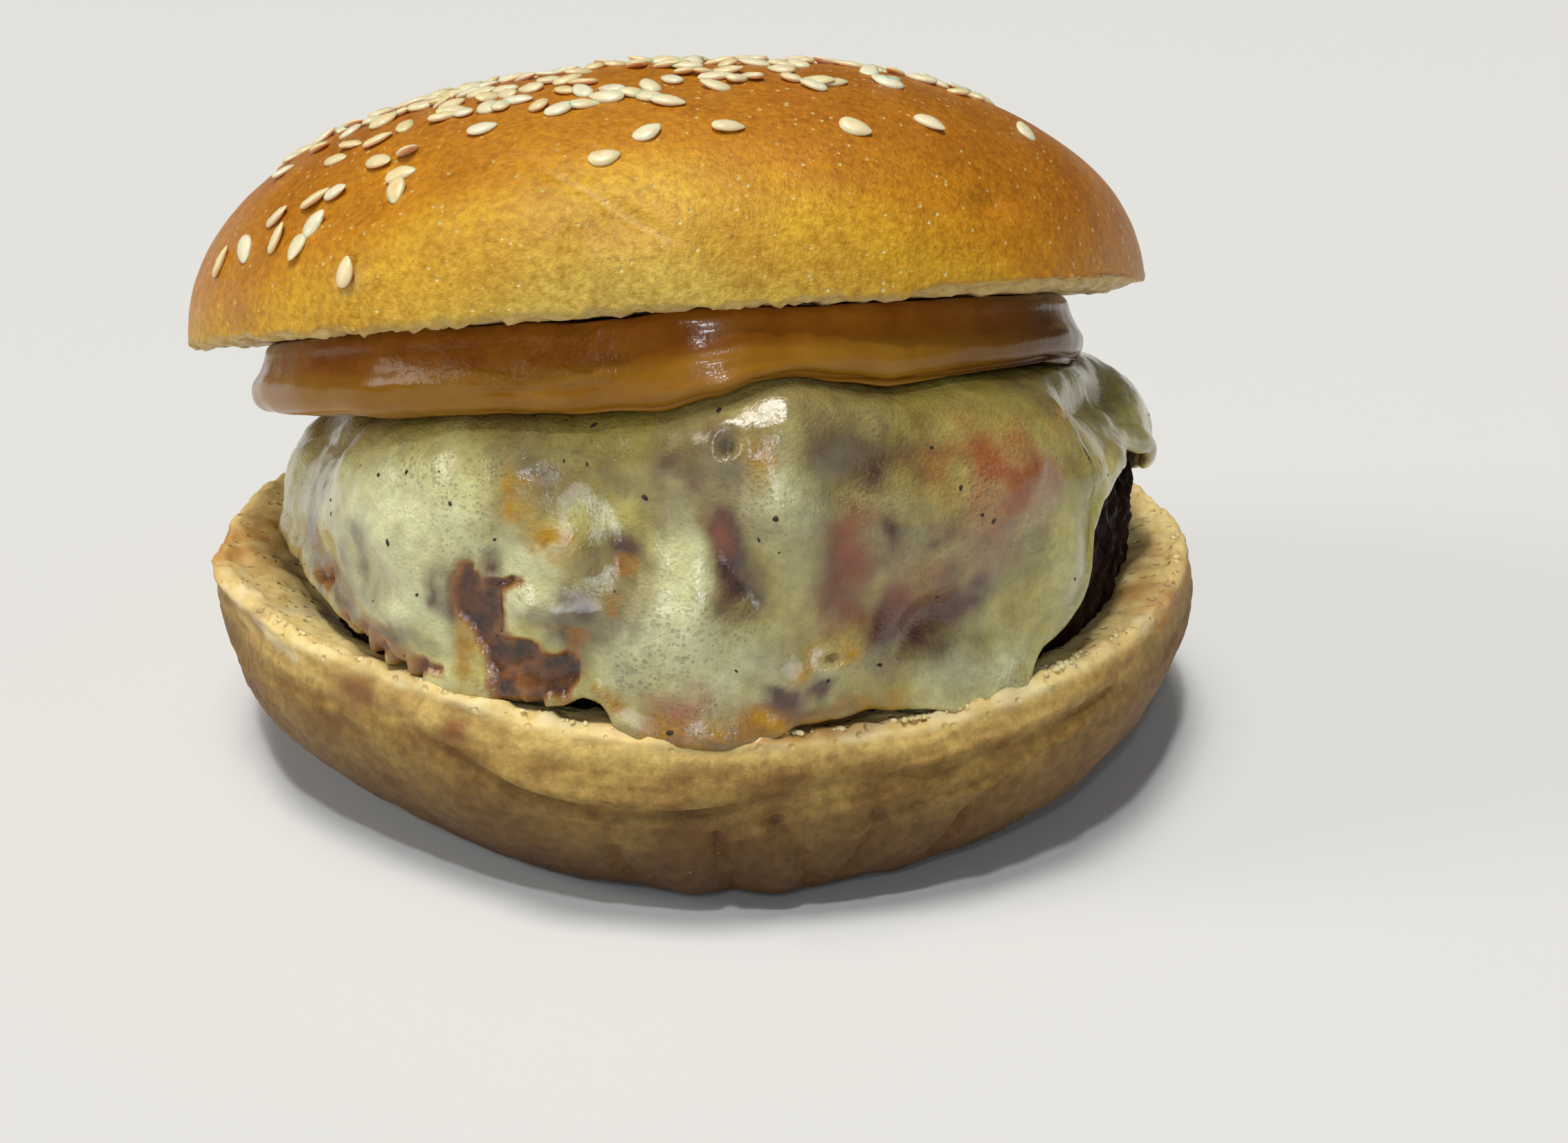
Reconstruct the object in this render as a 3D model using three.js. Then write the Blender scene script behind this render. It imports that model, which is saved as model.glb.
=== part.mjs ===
// A cheeseburger, built as it is stacked: the bun's heel, a thick beef patty, cheese melted over the
// patty, a thick layer of burger sauce, and the bun's crown, which has tipped back on the filling.
// Millimetres, +Z up. -Y is the front, where the cheese hangs lowest, and +X is its right-hand side.
// The origin is on the flat underside of the heel, on the bun's axis.
import * as THREE from "three";

const TURN = 2 * Math.PI;
const FRONT = -Math.PI / 2;
const GAP = 0.3; // between two pieces that rest on each other

// The heel is the lower half of the bun. Its cut face carries the patty.
const HEEL_RADIUS = 53;
const HEEL_FOOT_SHARE = 0.71; // flat underside, as a share of the radius
const HEEL_BELLY_HEIGHT = 12.6;
const HEEL_FACE_HEIGHT = 18;
const HEEL_FACE_SHARE = 0.9; // the flat part of the cut face, as a share of the radius
const HEEL_RIM_HEIGHTS = [
  // [bearing in degrees, rim height]
  [-180, 20.6],
  [-150, 20.2],
  [-120, 19.6],
  [-90, 18.6],
  [-65, 18.6],
  [-45, 20.4],
  [0, 20.4],
  [60, 19.6],
  [120, 20.0],
];

// The crown is the upper half of the bun: a superellipse dome on a flat cut face, seated as a whole.
const CROWN_RADIUS = 50;
const CROWN_HEIGHT = 25.8;
const CROWN_POWER = 2.25;
const CROWN_SEAT = new THREE.Vector3(-5, 0, 43.6); // centre of the cut face
const CROWN_TIP_BACK = THREE.MathUtils.degToRad(15.2);
const CROWN_TIP_LEFT = THREE.MathUtils.degToRad(4.8);
const CROWN_SAG = 0.0025; // the back half bends up off the filling by this times its depth squared

// The filling shares one axis and one shoulder shape: each layer is the one under it, grown.
const FILLING_X = 0.5;
const FILLING_Y = -3;
const FILLING_POWER = 5;
const WAIST_HEIGHT = 22; // below this the side of the filling is upright
const CHEESE_RADIUS = 47;
const CHEESE_THICKNESS = 2.2;
const CHEESE_DRAW = 0.06; // a drip draws in by this for each millimetre that it hangs below the waist
const CHEESE_LIP = 0.8; // the inner face ends this far above the outer one
const PATTY_POWER = 4; // the patty is a little rounder at its top edge than the cheese over it
const PATTY_FOOT_ROUND = 3; // the patty's lower edge curls in over this width
const SAUCE_THICKNESS = 5;
const SAUCE_RADIUS = 43.5;
const SAUCE_SHIFT = 5; // towards -X, with the crown that pressed it out
const SAUCE_CONTACT = 0.87; // it lies on the cheese out to this share of the cheese's radius
const SAUCE_OVERHANG = 1.6; // it stands out past that contact by at least this much
const SAUCE_BULGE = 1.3; // height from the lower lip to the widest part
const SAUCE_LID_INSET = 1.4; // the crown presses on it this far inside its edge

// Where the melted cheese ends, as [bearing in degrees, height]: drips are low, tears are high.
const CHEESE_EDGE = [
  [-172, 22.5],
  [-150, 25],
  [-138, 24],
  [-125, 23.6],
  [-119.5, 19.6],
  [-115, 25],
  [-107, 29],
  [-101, 22],
  [-96, 18.9],
  [-88, 18.8],
  [-74, 21],
  [-62, 20],
  [-54, 19],
  [-49, 24],
  [-42, 29],
  [-36, 36],
  [-26, 37],
  [-8, 33],
  [12, 26],
  [28, 30],
  [46, 21],
  [66, 28],
  [92, 23],
  [112, 28.5],
  [134, 21.5],
  [158, 28],
];

// The rounded lower edge of the sauce, as [bearing in degrees, depth below the crown's cut face].
const SAUCE_EDGE = [
  [-180, 6.6],
  [-150, 7.4],
  [-122, 8.2],
  [-98, 8.6],
  [-84, 6],
  [-66, 8],
  [-50, 7.2],
  [-30, 6.6],
  [0, 7.6],
  [35, 6.4],
  [70, 8],
  [110, 6.6],
  [145, 7.8],
];

// A smooth function of bearing that passes through [degrees, value] stations and closes on itself.
function around(stations) {
  const n = stations.length;
  const station = (i) => {
    const lap = Math.floor(i / n);
    const [degrees, value] = stations[i - lap * n];
    return [degrees + 360 * lap, value];
  };
  return (theta) => {
    const first = stations[0][0];
    let degrees = THREE.MathUtils.radToDeg(theta);
    degrees -= 360 * Math.floor((degrees - first) / 360);
    let i = 0;
    while (station(i + 1)[0] <= degrees) i++;
    const [[x0, y0], [x1, y1], [x2, y2], [x3, y3]] = [i - 1, i, i + 1, i + 2].map(station);
    const t = (degrees - x1) / (x2 - x1);
    const slope1 = ((y2 - y0) / (x2 - x0)) * (x2 - x1);
    const slope2 = ((y3 - y1) / (x3 - x1)) * (x2 - x1);
    const s = t * t * (3 - 2 * t);
    return y1 + (y2 - y1) * s + slope1 * t * (1 - t) ** 2 - slope2 * t * t * (1 - t);
  };
}

// Gentle unevenness: a sum of [amplitude, lobes, phase] waves round the axis.
function wobble(theta, waves) {
  return waves.reduce((sum, [size, lobes, phase]) => sum + size * Math.cos(lobes * theta - phase), 0);
}

const heelRim = around(HEEL_RIM_HEIGHTS);
const cheeseEdge = around(CHEESE_EDGE);
const sauceEdge = around(SAUCE_EDGE);

const heelRadius = (theta) => HEEL_RADIUS + wobble(theta, [[0.7, 2, 0.5], [0.5, 3, 2.1], [0.35, 7, 0.9]]);
const crownRadius = (theta) => CROWN_RADIUS + wobble(theta, [[0.5, 2, 0.2], [0.4, 3, 1.1], [0.2, 5, 2.4]]);
const cheeseRadius = (theta) =>
  CHEESE_RADIUS + wobble(theta, [[0.6, 2, 3.4], [0.5, 3, 0.4], [0.4, 5, 1.7], [0.35, 8, 0.3]]);
const sauceRadius = (theta) =>
  SAUCE_RADIUS + SAUCE_SHIFT * Math.cos(theta - Math.PI) + wobble(theta, [[0.4, 4, 0.8], [0.3, 7, 2.2]]);

// The crown's own frame, and the height of its cut face over a point of the table.
const crownPlace = new THREE.Matrix4()
  .makeRotationFromEuler(new THREE.Euler(-CROWN_TIP_BACK, -CROWN_TIP_LEFT, 0))
  .setPosition(CROWN_SEAT);
const crownBend = (depth) => CROWN_SAG * Math.max(depth, 0) ** 2;

function crownFaceHeight(x, y) {
  const across = new THREE.Vector2(x, y).sub(CROWN_SEAT);
  const world = new THREE.Vector3();
  for (let step = 0; step < 6; step++) {
    world.set(across.x, across.y, crownBend(across.y)).applyMatrix4(crownPlace);
    across.x += x - world.x;
    across.y += y - world.y;
  }
  return world.z;
}

// A closed solid of revolution whose radius and height may change with bearing. The profile runs
// from the axis below to the axis above, and profileAt gives its [radius, height] stations.
function turned(segments, profileAt, centreX = 0, centreY = 0) {
  const stations = profileAt(FRONT).length;
  const onAxis = (j) => j === 0 || j === stations - 1;
  const spine = Array.from({ length: stations }, (_, j) => new THREE.Vector2(onAxis(j) ? 0 : 1, j));
  const geometry = new THREE.LatheGeometry(spine, segments);
  const position = geometry.getAttribute("position");
  for (let i = 0; i <= segments; i++) {
    const theta = FRONT + (TURN * (i % segments)) / segments;
    profileAt(theta).forEach(([radius, height], j) => {
      const k = i * stations + j;
      position.setXYZ(k, centreX + radius * Math.cos(theta), centreY + radius * Math.sin(theta), height);
    });
  }
  geometry.computeVertexNormals();
  return geometry;
}

// Even steps from 0 to 1, both ends included.
const steps = (count) => Array.from({ length: count + 1 }, (_, i) => i / count);

// Height of the top of a filling layer that lies `below` under the crown's cut face.
const layerTop = (theta, radius, below) =>
  crownFaceHeight(FILLING_X + radius * Math.cos(theta), FILLING_Y + radius * Math.sin(theta)) - below;

// The outside of a filling layer at one bearing: share 0 is on the axis, 1 is at the waist. The layer
// stands `inset` inside the cheese's outer face all over, or outside it when inset is negative.
function shoulder(theta, share, inset, power = FILLING_POWER) {
  const angle = (share ** 2 * Math.PI) / 2;
  const radius = (cheeseRadius(theta) - inset) * Math.sin(angle) ** (2 / power);
  const top = layerTop(theta, radius, SAUCE_THICKNESS + inset);
  return [radius, WAIST_HEIGHT + (top - WAIST_HEIGHT) * Math.cos(angle) ** (2 / power)];
}

// Share at which the outside, climbed from the waist, reaches a height.
function shareAtHeight(theta, height, inset) {
  let share = 1;
  while (share > 0.4 && shoulder(theta, share, inset)[1] < height) share -= 0.004;
  return share;
}

// Share at which the outside is a given way out from the axis.
function shareAtRadius(theta, radius, inset) {
  const ratio = radius / (cheeseRadius(theta) - inset);
  return Math.sqrt((2 / Math.PI) * Math.asin(ratio ** (FILLING_POWER / 2)));
}

// The outside of a layer from the axis to the last share it reaches.
const layerSide = (theta, lastShare, inset, count) =>
  steps(count).map((s) => shoulder(theta, lastShare * s, inset));

// One face of the cheese, from the axis over the shoulder and on down to where it ends.
function cheeseFace(theta, endHeight, inset, count) {
  const side = layerSide(theta, shareAtHeight(theta, endHeight, inset), inset, count);
  const [radius, height] = side[count];
  const hang = Math.max(0, WAIST_HEIGHT - endHeight);
  return [...side, [radius - CHEESE_DRAW * hang, Math.min(height, endHeight) - 0.01]];
}

function heelProfile(theta) {
  const radius = heelRadius(theta);
  const foot = radius * HEEL_FOOT_SHARE;
  const rim = heelRim(theta);
  const underside = [0, 0.5, 1].map((s) => [foot * s, 0]);
  const belly = steps(5).slice(1).map((s) => {
    const angle = (s * Math.PI) / 2;
    return [foot + (radius - foot) * Math.sin(angle), HEEL_BELLY_HEIGHT * (1 - Math.cos(angle))];
  });
  const side = [
    [radius * 0.996, 0.5 * (HEEL_BELLY_HEIGHT + rim)],
    [radius * 0.985, rim - 1.2],
    [radius * 0.97, rim],
  ];
  const face = [
    [radius * 0.945, rim - 0.3],
    [radius * HEEL_FACE_SHARE, HEEL_FACE_HEIGHT],
    [radius * 0.5, HEEL_FACE_HEIGHT],
    [0, HEEL_FACE_HEIGHT],
  ];
  return [...underside, ...belly, ...side, ...face];
}

function pattyProfile(theta) {
  const inset = CHEESE_THICKNESS + 2 * GAP;
  const base = HEEL_FACE_HEIGHT + GAP;
  const [bodyRadius] = shoulder(theta, 1, inset);
  const outside = steps(10).map((s) => shoulder(theta, s, inset, PATTY_POWER)).reverse();
  return [
    [0, base],
    [bodyRadius * 0.55, base],
    [bodyRadius - PATTY_FOOT_ROUND, base],
    [bodyRadius - PATTY_FOOT_ROUND / 3, base + PATTY_FOOT_ROUND / 4],
    ...outside,
  ];
}

function cheeseProfile(theta) {
  const edge = cheeseEdge(theta) + GAP;
  const outside = cheeseFace(theta, edge, 0, 9);
  const inside = cheeseFace(theta, edge + CHEESE_LIP, CHEESE_THICKNESS, 10);
  const [outerRadius, outerHeight] = outside[outside.length - 1];
  const [innerRadius] = inside[inside.length - 1];
  const lip = [(outerRadius + innerRadius) / 2, outerHeight - 0.25];
  return [...inside, lip, ...outside.reverse()];
}

function sauceProfile(theta) {
  const outer = sauceRadius(theta);
  const contact = Math.min(SAUCE_CONTACT * cheeseRadius(theta), outer - SAUCE_OVERHANG);
  const underside = layerSide(theta, shareAtRadius(theta, contact, -2 * GAP), -2 * GAP, 8);
  const [contactRadius, contactHeight] = underside[underside.length - 1];
  const reach = Math.min(outer, cheeseRadius(theta));
  const [, cheeseUnderLip] = shoulder(theta, shareAtRadius(theta, reach, -2 * GAP), -2 * GAP);
  const hang = Math.min(layerTop(theta, outer, sauceEdge(theta)), contactHeight + 0.4);
  const lipHeight = Math.max(hang, cheeseUnderLip);
  const lidRadius = outer - SAUCE_LID_INSET;
  const lid = (radius) => layerTop(theta, radius, GAP);
  return [
    ...underside,
    [0.5 * (contactRadius + outer), 0.5 * (contactHeight + lipHeight) + 0.2],
    [outer - 0.4, lipHeight],
    [outer, lipHeight + SAUCE_BULGE],
    [outer - 0.5, 0.5 * (lipHeight + lid(outer)) + 0.8],
    ...[1, 0.75, 0.5, 0.25, 0].map((s) => [lidRadius * s, lid(lidRadius * s)]),
  ];
}

// In the crown's own frame, so that its mesh is tipped into place as one piece.
function crownProfile(theta) {
  const radius = crownRadius(theta);
  const face = [0, 0.2, 0.4, 0.6, 0.8, 0.92, 0.985].map((s) => [radius * s, 0]);
  const rim = [[radius * 0.998, 0.8]];
  const dome = steps(10).slice(1).map((s) => {
    const angle = (s * Math.PI) / 2;
    const power = 2 / CROWN_POWER;
    return [radius * Math.cos(angle) ** power, CROWN_HEIGHT * Math.sin(angle) ** power];
  });
  dome[dome.length - 1][0] = 0;
  return [...face, ...rim, ...dome].map(([r, height]) => [r, height + crownBend(r * Math.sin(theta))]);
}

function piece(name, geometry, colour, roughness) {
  const material = new THREE.MeshStandardMaterial({ color: colour, roughness, metalness: 0 });
  const mesh = new THREE.Mesh(geometry, material);
  mesh.name = name;
  return mesh;
}

const heel = piece("bun_heel", turned(48, heelProfile), 0xc89a55, 0.85);
const patty = piece("beef_patty", turned(60, pattyProfile, FILLING_X, FILLING_Y), 0x3a2018, 0.6);
const cheese = piece("melted_cheese", turned(60, cheeseProfile, FILLING_X, FILLING_Y), 0xd9d18e, 0.3);
const sauce = piece("burger_sauce", turned(60, sauceProfile, FILLING_X, FILLING_Y), 0xc4842f, 0.25);
const crown = piece("bun_crown", turned(48, crownProfile), 0xc87a22, 0.45);
crown.applyMatrix4(crownPlace);

const burger = new THREE.Group();
burger.add(heel, patty, cheese, sauce, crown);

export default burger;
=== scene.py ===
"""A cheeseburger: bun heel, thick beef patty, melted cheese, burger sauce and a seeded bun crown.

Shapes are worked out in millimetres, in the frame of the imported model: +Z up, -Y the front, and the
origin under the middle of the heel. Bearings are in degrees round +Z, so the front is at -90.
"""

import math
import random

import bpy
import numpy as np
from mathutils import Matrix, Vector


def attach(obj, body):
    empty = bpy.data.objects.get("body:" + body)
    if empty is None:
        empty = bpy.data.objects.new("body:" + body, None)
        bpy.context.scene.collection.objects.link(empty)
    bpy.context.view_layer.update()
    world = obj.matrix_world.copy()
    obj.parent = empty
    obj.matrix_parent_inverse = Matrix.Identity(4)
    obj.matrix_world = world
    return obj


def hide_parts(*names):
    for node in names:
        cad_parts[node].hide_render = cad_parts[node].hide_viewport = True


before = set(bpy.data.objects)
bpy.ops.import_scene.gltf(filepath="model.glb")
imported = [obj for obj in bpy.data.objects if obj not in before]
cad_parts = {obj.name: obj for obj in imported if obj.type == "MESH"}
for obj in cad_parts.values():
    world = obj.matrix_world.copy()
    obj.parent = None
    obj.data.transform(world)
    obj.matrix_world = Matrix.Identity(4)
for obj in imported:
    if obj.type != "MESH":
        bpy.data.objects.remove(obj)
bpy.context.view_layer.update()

MM = 0.001
FRONT = -math.pi / 2

# ---- sizes, mostly those of the solids

HEEL_RADIUS = 53
HEEL_FACE = 18
# Height of the heel's rim, by bearing.
HEEL_RIM = [
    (-180, 20.6), (-150, 20.4), (-120, 20.3), (-101, 19.2), (-90, 18.6), (-65, 18.6), (-45, 20.4),
    (0, 20.4), (60, 19.6), (120, 20.0),
]

CROWN_RADIUS = 50
CROWN_HEIGHT = 25.8
CROWN_POWER = 2.25  # how square the dome's shoulder is
CROWN_SEAT = np.array((-5, 0, 43.6))  # where the middle of its cut face lies
CROWN_TIP_BACK = math.radians(15.2)
CROWN_TIP_LEFT = math.radians(4.8)
CROWN_SAG = 0.0025  # how far the back of the crown bends over the filling

FILLING = (0.5, -3)  # where the middle of the patty, the cheese and the sauce lies
SHOULDER_POWER = 5  # how square the filling's shoulder is
WAIST = 22  # height at which the filling is widest
CHEESE_RADIUS = 47
SAUCE_THICKNESS = 5
SAUCE_RADIUS = 43.5
SAUCE_SHIFT = 5  # towards the left

# Millimetres along the surface to a degree of bearing.
FILLING_ARC = 0.84
HEEL_ARC = HEEL_RADIUS * math.pi / 180
CROWN_ARC = 48 * math.pi / 180

# Where the melted cheese ends, by bearing and height.
CHEESE_EDGE = [
    (-175, 23), (-165, 22.6), (-152, 24), (-143, 24.2), (-134, 22.8), (-126, 21.6), (-119, 20.4),
    (-114, 20.6), (-109, 20.6), (-105, 21), (-102.6, 22.4), (-100.6, 22.1), (-98.6, 19.6), (-94, 18.4),
    (-88, 18.1), (-84, 18.8), (-78, 20.3), (-72, 20.6), (-64, 20.1), (-58, 19.0), (-53, 18.3),
    (-50.6, 19.0), (-47.6, 23.4), (-44, 24.6), (-41.2, 26), (-39.2, 29), (-38.8, 32.6), (-35.6, 35.4),
    (-30.6, 36.8), (-24, 37.2), (-16, 36.6), (-8, 34), (0, 30.5), (9, 28), (18, 28.5), (30, 27),
    (38, 21.5), (46, 20.4), (54, 25.5), (66, 27.5), (80, 22.4), (90, 21.5), (100, 26.5), (112, 27.5),
    (124, 21.2), (134, 20.6), (142, 26.5), (156, 27.5), (166, 22.4), (174, 21.4),
]
# How far the sauce's low edge lies under the crown's cut face, by bearing.
SAUCE_EDGE = [
    (-180, 6.4), (-160, 7.0), (-140, 7.6), (-122, 8.0), (-105, 8.5), (-95, 8.3), (-89, 7.3), (-84, 6.3),
    (-79, 6.2), (-73, 6.8), (-66, 7.4), (-56, 7.2), (-45, 6.9), (-30, 6.4), (0, 7.4), (35, 6.4),
    (70, 7.8), (110, 6.6), (145, 7.6),
]


# ---- random but repeatable texture


def lattice(cell, seed):
    """A repeatable number from -1 to 1 for each whole-numbered corner held in the last axis of cell."""
    h = cell[..., 0] * 374761393 + cell[..., 1] * 668265263 + cell[..., 2] * 1442695041 + seed * 1013904223
    h = h & 0xFFFFFFFF
    h = ((h ^ (h >> 13)) * 1274126177) & 0xFFFFFFFF
    h = h ^ (h >> 16)
    return (h & 0xFFFFFF) / 0x7FFFFF - 1


def lumps(points, size, seed=0):
    """Smooth random lumps about size across, from -1 to 1."""
    q = points / size
    base = np.floor(q).astype(np.int64)
    f = q - base
    f = f * f * f * (f * (f * 6 - 15) + 10)
    total = 0
    for corner in np.ndindex(2, 2, 2):
        step = np.array(corner)
        weight = np.prod(np.where(step == 1, f, 1 - f), axis=-1)
        total = total + weight * lattice(base + step, seed)
    return total


def rough(points, size, seed=0, layers=3):
    """Lumps with ever finer lumps on them."""
    return sum(lumps(points, size / 2**i, seed + 7 * i) / 2**i for i in range(layers))


def clumps(points, size, seed=0):
    """Distance to the nearest of a loose set of centres, in sizes, and that centre's own number."""
    q = points / size
    base = np.floor(q).astype(np.int64)
    best = np.full(q.shape[:-1], 9.0)
    own = np.zeros(q.shape[:-1])
    for step in np.ndindex(3, 3, 3):
        cell = base + np.array(step) - 1
        centre = cell + 0.5 + 0.42 * np.stack([lattice(cell, seed + k) for k in (1, 2, 3)], -1)
        distance = np.linalg.norm(q - centre, axis=-1)
        closer = distance < best
        best = np.where(closer, distance, best)
        own = np.where(closer, lattice(cell, seed), own)
    return best, own


# ---- shape helpers


def swing(bearing, at):
    """Degrees from one bearing to another, the short way round."""
    return (bearing - at + 180) % 360 - 180


def ease(x, low, high):
    """0 below low, 1 above high, and smooth between."""
    t = np.clip((x - low) / (high - low), 0, 1)
    return t * t * (3 - 2 * t)


def around(stations, bearing):
    """Value at each bearing, eased between the stations and closed on itself."""
    at = np.array([s[0] for s in stations] + [stations[0][0] + 360], float)
    value = np.array([s[1] for s in stations] + [stations[0][1]], float)
    turned = (bearing - at[0]) % 360 + at[0]
    i = np.clip(np.searchsorted(at, turned, side="right") - 1, 0, len(at) - 2)
    t = (turned - at[i]) / (at[i + 1] - at[i])
    t = 0.35 * t + 0.65 * t * t * (3 - 2 * t)
    return value[i] + (value[i + 1] - value[i]) * t


def spot(bearing, height, at, wide, tall, arc=FILLING_ARC):
    """A soft round mark on an upright side: 1 in its middle. arc is millimetres to a degree."""
    across = swing(bearing, at[0]) * arc / wide
    up = (height - at[1]) / tall
    return np.exp(-(across**2 + up**2))


def stroke(bearing, height, path, width, arc=FILLING_ARC):
    """A soft line along a path of (bearing, height) points: 1 on the line."""
    best = np.full(np.broadcast(bearing, height).shape, 1e9)
    for (b0, h0), (b1, h1) in zip(path, path[1:]):
        ex, ey = (b1 - b0) * arc, h1 - h0
        px, py = swing(bearing, b0) * arc, height - h0
        t = np.clip((px * ex + py * ey) / (ex * ex + ey * ey), 0, 1)
        best = np.minimum(best, (px - t * ex) ** 2 + (py - t * ey) ** 2)
    return np.exp(-best / width**2)


def fair(controls, counts):
    """A smooth section through control points, with counts[i] steps between point i and the next."""
    chord = np.linalg.norm(np.diff(controls, axis=1), axis=2)[..., None] + 1e-6
    tangent = np.empty_like(controls)
    tangent[:, 1:-1] = (controls[:, 2:] - controls[:, :-2]) / (chord[:, 1:] + chord[:, :-1])
    tangent[:, 0] = (controls[:, 1] - controls[:, 0]) / chord[:, 0]
    tangent[:, -1] = (controls[:, -1] - controls[:, -2]) / chord[:, -1]
    parts = []
    for i, count in enumerate(counts):
        t = (np.arange(count) / count)[None, :, None]
        p0, p1 = controls[:, i, None], controls[:, i + 1, None]
        m0, m1 = tangent[:, i, None] * chord[:, i, None], tangent[:, i + 1, None] * chord[:, i, None]
        parts.append(
            (2 * t**3 - 3 * t**2 + 1) * p0
            + (t**3 - 2 * t**2 + t) * m0
            + (3 * t**2 - 2 * t**3) * p1
            + (t**3 - t**2) * m1
        )
    return np.concatenate(parts + [controls[:, -1:]], axis=1)


def columns(count):
    """Angles and bearings of the columns of a ring, starting at the front."""
    theta = FRONT + 2 * math.pi * np.arange(count)[:, None] / count
    return theta, np.degrees(theta)


def swept(theta, section, centre=(0, 0)):
    """Points of a ring from its sections: the last axis of section is radius, height."""
    radius, height = section[..., 0], section[..., 1]
    return np.stack([centre[0] + radius * np.cos(theta), centre[1] + radius * np.sin(theta), height], -1)


def facing(points):
    """Unit outward direction at each point of a ring whose stations run up its outside."""
    along = np.gradient(points, axis=1)
    about = np.roll(points, -1, 0) - np.roll(points, 1, 0)
    out = np.cross(about, along)
    return out / (np.linalg.norm(out, axis=-1, keepdims=True) + 1e-9)


def raised(points, height):
    """The ring with each point moved outward by height."""
    return points + facing(points) * height[..., None]


def wavy(theta, radius, *waves):
    """A radius with gentle waves round it, each given as height, number in a turn and start."""
    return radius + sum(height * np.cos(number * theta - start) for height, number, start in waves)


def through(theta, stations):
    """Control points of a section from pairs of radius and height, one value each or one a column."""
    pairs = [np.broadcast_arrays(radius, height, theta)[:2] for radius, height in stations]
    return np.concatenate([np.stack(pair, -1).astype(float) for pair in pairs], axis=1)


def bell(bearing, at, wide):
    """1 at one bearing, and falling off softly within wide degrees to both sides."""
    return np.exp(-((swing(bearing, at) / wide) ** 2))


def total(spots, bearing, height, arc=FILLING_ARC):
    """Sum of soft round marks, each given as bearing, height, width, height of the mark and depth."""
    return sum(depth * spot(bearing, height, (b, h), wide, tall, arc) for b, h, wide, tall, depth in spots)


def strokes(paths, bearing, height, width, arc):
    """Sum of soft lines of one width."""
    return sum(stroke(bearing, height, path, width, arc) for path in paths)


def add_mesh(name, verts, faces, marks=None):
    """A smooth-shaded piece from points in millimetres, with its soft masks as point attributes."""
    mesh = bpy.data.meshes.new(name)
    mesh.from_pydata((np.asarray(verts) * MM).tolist(), [], faces)
    mesh.polygons.foreach_set("use_smooth", [True] * len(mesh.polygons))
    for mark, values in (marks or {}).items():
        attribute = mesh.attributes.new(mark, "FLOAT", "POINT")
        attribute.data.foreach_set("value", np.ascontiguousarray(values, dtype=np.float32))
    mesh.update()
    piece = bpy.data.objects.new(name, mesh)
    bpy.context.scene.collection.objects.link(piece)
    return piece


def ring_piece(name, points, marks=None):
    """Closes a ring that starts and ends on its axis into a solid skin. Masks are kept to 0..1."""
    count, stations = points.shape[:2]
    inner = stations - 2
    verts = np.concatenate([points[:1, 0], points[:, 1:-1].reshape(-1, 3), points[:1, -1]])
    low, high = 0, len(verts) - 1

    def at(i, j):
        return 1 + (i % count) * inner + j

    faces = []
    for i in range(count):
        faces.append((low, at(i + 1, 0), at(i, 0)))
        faces += [(at(i, j), at(i + 1, j), at(i + 1, j + 1), at(i, j + 1)) for j in range(inner - 1)]
        faces.append((high, at(i, inner - 1), at(i + 1, inner - 1)))
    flat = {}
    for mark, values in (marks or {}).items():
        values = np.broadcast_to(values, (count, stations)).clip(0, 1)
        flat[mark] = np.concatenate([values[:1, 0], values[:, 1:-1].ravel(), values[:1, -1]])
    return add_mesh(name, verts, faces, flat)


def finish_piece(piece, material, slot, *nodes):
    """Gives a piece its material and its place on the body, and hides the solids it stands for. The slot is
    not used.
    """
    piece.data.materials.append(material)
    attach(piece, "root")
    if nodes:
        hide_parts(*nodes)
    return piece


# ---- node helpers


def add_node(tree, kind, inputs=None, **settings):
    """A node with its settings and inputs filled in. An input that is a socket is linked."""
    made = tree.nodes.new(kind)
    for key, value in settings.items():
        setattr(made, key, value)
    for key, value in (inputs or {}).items():
        if isinstance(value, bpy.types.NodeSocket):
            tree.links.new(value, made.inputs[key])
        else:
            made.inputs[key].default_value = value
    return made


def sums(tree, operation, a, b, clamp=False):
    """One sum of two values."""
    return add_node(tree, "ShaderNodeMath", {0: a, 1: b}, operation=operation, use_clamp=clamp).outputs[0]


def blend(tree, share, low, high, mode="MIX"):
    """Colour low at share 0 and high at share 1."""
    given = {0: share, 6: low, 7: high}
    return add_node(tree, "ShaderNodeMix", given, data_type="RGBA", blend_type=mode).outputs[2]


def between(tree, value, low, high, out_low=0.0, out_high=1.0):
    """value eased from low..high to out_low..out_high."""
    given = {"Value": value, "From Min": low, "From Max": high, "To Min": out_low, "To Max": out_high}
    return add_node(tree, "ShaderNodeMapRange", given, interpolation_type="SMOOTHSTEP").outputs["Result"]


def mark(tree, name):
    """A soft mask that the piece carries."""
    return add_node(tree, "ShaderNodeAttribute", attribute_name=name).outputs["Fac"]


def marked(tree, name, low, high, out_low=0.0, out_high=1.0):
    """A soft mask that the piece carries, eased."""
    return between(tree, mark(tree, name), low, high, out_low, out_high)


def times(tree, colour, other, share=1.0):
    """colour times another."""
    return blend(tree, share, colour, other, "MULTIPLY")


def scaled(tree, value, share):
    """A value times a share."""
    return sums(tree, "MULTIPLY", value, share)


def either(tree, share, low, high):
    """A value that goes from low at share 0 to high at share 1."""
    return add_node(tree, "ShaderNodeMix", {0: share, 2: low, 3: high}, data_type="FLOAT").outputs[0]


def noise(tree, scale, detail, roughness):
    """Soft random values through the piece."""
    given = {"Vector": place_of(tree), "Scale": scale, "Detail": detail, "Roughness": roughness}
    return add_node(tree, "ShaderNodeTexNoise", given).outputs["Fac"]


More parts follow.
